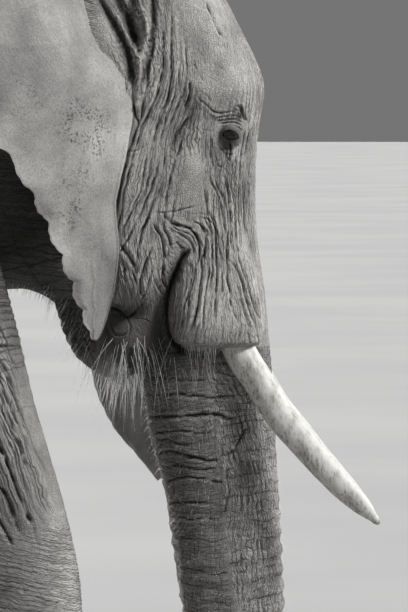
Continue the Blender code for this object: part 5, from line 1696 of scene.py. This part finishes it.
def pick(low, high, count, side, facing):
    """Random points of the skin inside a box (x and height) on one side, with their normals."""
    inside = (side_points[:, 0] > low[0]) & (side_points[:, 0] < high[0])
    inside &= (side_points[:, 1] > low[1]) & (side_points[:, 1] < high[1])
    inside &= at[:, 1] * side > 0.02
    if facing is not None:
        inside &= normal @ np.array(facing) > 0.25
    found = np.nonzero(inside)[0]
    chosen = hair_random.choice(found, size=min(count, len(found)), replace=False)
    return at[chosen] - ROOT_SINK * normal[chosen], normal[chosen]


side_points = at[:, [0, 2]]
# name: box from, box to (x, height), hairs a side, length from and to, way they point, share of the normal,
# radius, and which way the skin must face there
PATCHES = {
    "lip_corner": ((1.035, 1.325), (1.235, 1.425), 75, (0.06, 0.17), (0.02, 0, -1.0), 0.30, 0.0010, None),
    "under_lip": ((1.235, 1.330), (1.340, 1.400), 45, (0.03, 0.08), (0.15, 0, -1.0), 0.45, 0.0007, None),
    "chin": ((0.900, 1.270), (1.120, 1.360), 38, (0.05, 0.13), (-0.25, 0, -0.9), 0.40, 0.0009, (0, 0, -1)),
    "jaw": ((0.880, 1.360), (1.000, 1.520), 70, (0.020, 0.07), (-0.5, 0, -0.8), 0.50, 0.0006, (0, 0, -1)),
    "throat": ((0.780, 1.430), (0.900, 1.560), 90, (0.010, 0.030), (-0.5, 0, -0.9), 0.60, 0.0004, (0, 0, -1)),
    "trunk": ((1.12, 0.20), (1.62, 1.34), 420, (0.010, 0.030), (0.1, 0, -0.8), 1.30, 0.0005, None),
    "crown": ((0.86, 2.40), (1.34, 2.62), 260, (0.015, 0.035), (-0.1, 0, 0.6), 1.20, 0.0005, None),
    "back": ((-1.30, 2.35), (0.80, 2.65), 220, (0.012, 0.030), (-0.4, 0, 0.5), 1.20, 0.0006, None),
}
for name, (low, high, count, lengths, aim, outward, thick, facing) in PATCHES.items():
    roots, outs = zip(*(pick(low, high, count, side, facing) for side in (RIGHT, LEFT)))
    roots, outs = np.concatenate(roots), np.concatenate(outs)
    aims = np.array(aim) + outward * outs + 0.22 * hair_random.normal(size=roots.shape)
    long = hair_random.uniform(*lengths, len(roots)) * hair_random.uniform(0.6, 1, len(roots))
    hair_object("hair_" + name, roots, aims, long, np.full(len(roots), thick), wiry_hair)

# %% Lashes
LASHES, UPPER_LASHES = 60, 42  # on each side, and how many of them are on the upper lid
along = hair_random.uniform(-1, 1, LASHES)
for side, word in ((RIGHT, "right"), (LEFT, "left")):
    upper = np.arange(LASHES) < UPPER_LASHES
    lid_x = EYE[0] + 0.021 * along
    lid_z = EYE[2] - 0.003 * along + np.where(upper, 0.013, -0.012) * np.sqrt(1 - along**2)
    roots = np.column_stack([lid_x, np.full(LASHES, side * (EYE[1] + 0.017)), lid_z])
    aims = np.column_stack([0.25 + 0.3 * along, np.full(LASHES, side * 1.0), np.where(upper, -0.45, -0.35)])
    aims += 0.15 * hair_random.normal(size=aims.shape)
    lengths = hair_random.uniform(0.020, 0.042, LASHES)
    hair_object("lashes_" + word, roots, aims, lengths, np.full(LASHES, 0.0005), black_wire, 0.5)

# %% The tail's brush
low = np.array(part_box("tail_brush"))[0] - SHIFT
count = 260
fore = np.where(np.arange(count) % 2 == 0, 1.0, -1.0)
start = hair_random.uniform(0, 1, count) ** 1.6
root_y = 0.020 + 0.006 * hair_random.normal(size=count)
roots = np.column_stack([-1.692 + 0.016 * fore * (1 - 0.3 * start), root_y, 1.150 + 0.20 * start])
reach = roots[:, 2] - hair_random.uniform(low[2], low[2] + 0.22, count)
spread = hair_random.uniform(0.01, 0.07, count) * fore
aims = np.column_stack([spread, 0.045 * hair_random.normal(size=count).clip(-1, 1), np.full(count, -1.0)])
brush = hair_object("hair_tail_brush", roots, aims, reach / 1.05, np.full(count, 0.0010), black_wire, 0.05, 8)
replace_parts(brush, "tail_brush")
# %% [markdown]
# ## Floor, light and camera
# The floor is a pale plain disc, so wide that its edge is the horizon. The sky is a soft grey. A key sun
# from the near side shows the folds, two low suns draw the edges, and a lamp behind fills the rump.
# %% Floor
def disc(name, radius, material):
    """A flat disc on the ground: radius x (cos u, sin u)."""
    u = np.linspace(0, 2 * math.pi, 96, endpoint=False)
    ring = np.column_stack([radius * np.cos(u), radius * np.sin(u), 0 * u])
    mesh = bpy.data.meshes.new(name)
    mesh.from_pydata(ring.tolist(), [], [list(range(96))])
    mesh.materials.append(material)
    obj = in_scene(name, mesh)
    obj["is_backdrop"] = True
    return obj


def floor_material():
    """Pale ground with faint soft patches."""
    material, tree, shader, place = new_material("pale_floor")
    patches = fade(tree, clouds(tree, place, 0.35, 3.0), 0.3, 0.7)
    tint = grey_ramp(tree, patches, (0.34, 0.34, 0.34), (0.385, 0.385, 0.38))
    fill(tree, shader, Base_Color=tint, Roughness=0.95)
    return material


disc("floor", 210.0, floor_material())


# %% Light
def soft_lamp(name, place, aim, size, power):
    """A square lamp that shines from a place towards an aim."""
    lamp = bpy.data.lights.new(name, "AREA")
    lamp.shape, lamp.size, lamp.energy = "SQUARE", size, power
    obj = in_scene(name, lamp)
    obj.location = place
    obj.rotation_euler = (Vector(aim) - Vector(place)).to_track_quat("-Z", "Y").to_euler()
    return obj


def sun(name, aim, spread, strength):
    """Even light from far away, aimed along a direction, as soft as a sky patch of that many degrees."""
    lamp = bpy.data.lights.new(name, "SUN")
    lamp.angle, lamp.energy = math.radians(spread), strength
    obj = in_scene(name, lamp)
    obj.rotation_euler = Vector(aim).to_track_quat("-Z", "Y").to_euler()
    return obj


sun("key", (-0.85, 0.60, -0.85), 14, 2.9)
sun("front_rim", (-0.90, -0.42, -0.40), 8, 2.2)
sun("rear_rim", (0.42, -0.86, -0.42), 8, 2.8)
soft_lamp("rear_fill", (-5.5, -2.0, 4.5), (-1.0, 0.0, 1.4), 3.0, 60)
world = bpy.data.worlds.new("sky")
bpy.context.scene.world = world
world.use_nodes = True
world.node_tree.nodes["Background"].inputs["Color"].default_value = (0.42, 0.42, 0.42, 1)
world.node_tree.nodes["Background"].inputs["Strength"].default_value = 0.42
bpy.context.scene.view_settings.view_transform = "Standard"

# %% Camera
VIEW_HEIGHT = 1.652  # height of what the lens takes in at the animal's side, in metres
DISTANCE = 12.0
camera = bpy.data.cameras.new("camera")
camera.sensor_width = 36.0
camera.lens = camera.sensor_width * DISTANCE / VIEW_HEIGHT
camera.clip_end = 600.0
viewer = in_scene("camera", camera)
face = EYE + SHIFT - (0.0702, 0, 0)
place, aim = Vector((face[0], -0.25 - DISTANCE, 2.05)), Vector((face[0], -0.25, 1.496))
viewer.location = place
viewer.rotation_euler = (aim - place).to_track_quat("-Z", "Y").to_euler()
bpy.context.scene.camera = viewer

# %% Sizes and the end
low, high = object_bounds()
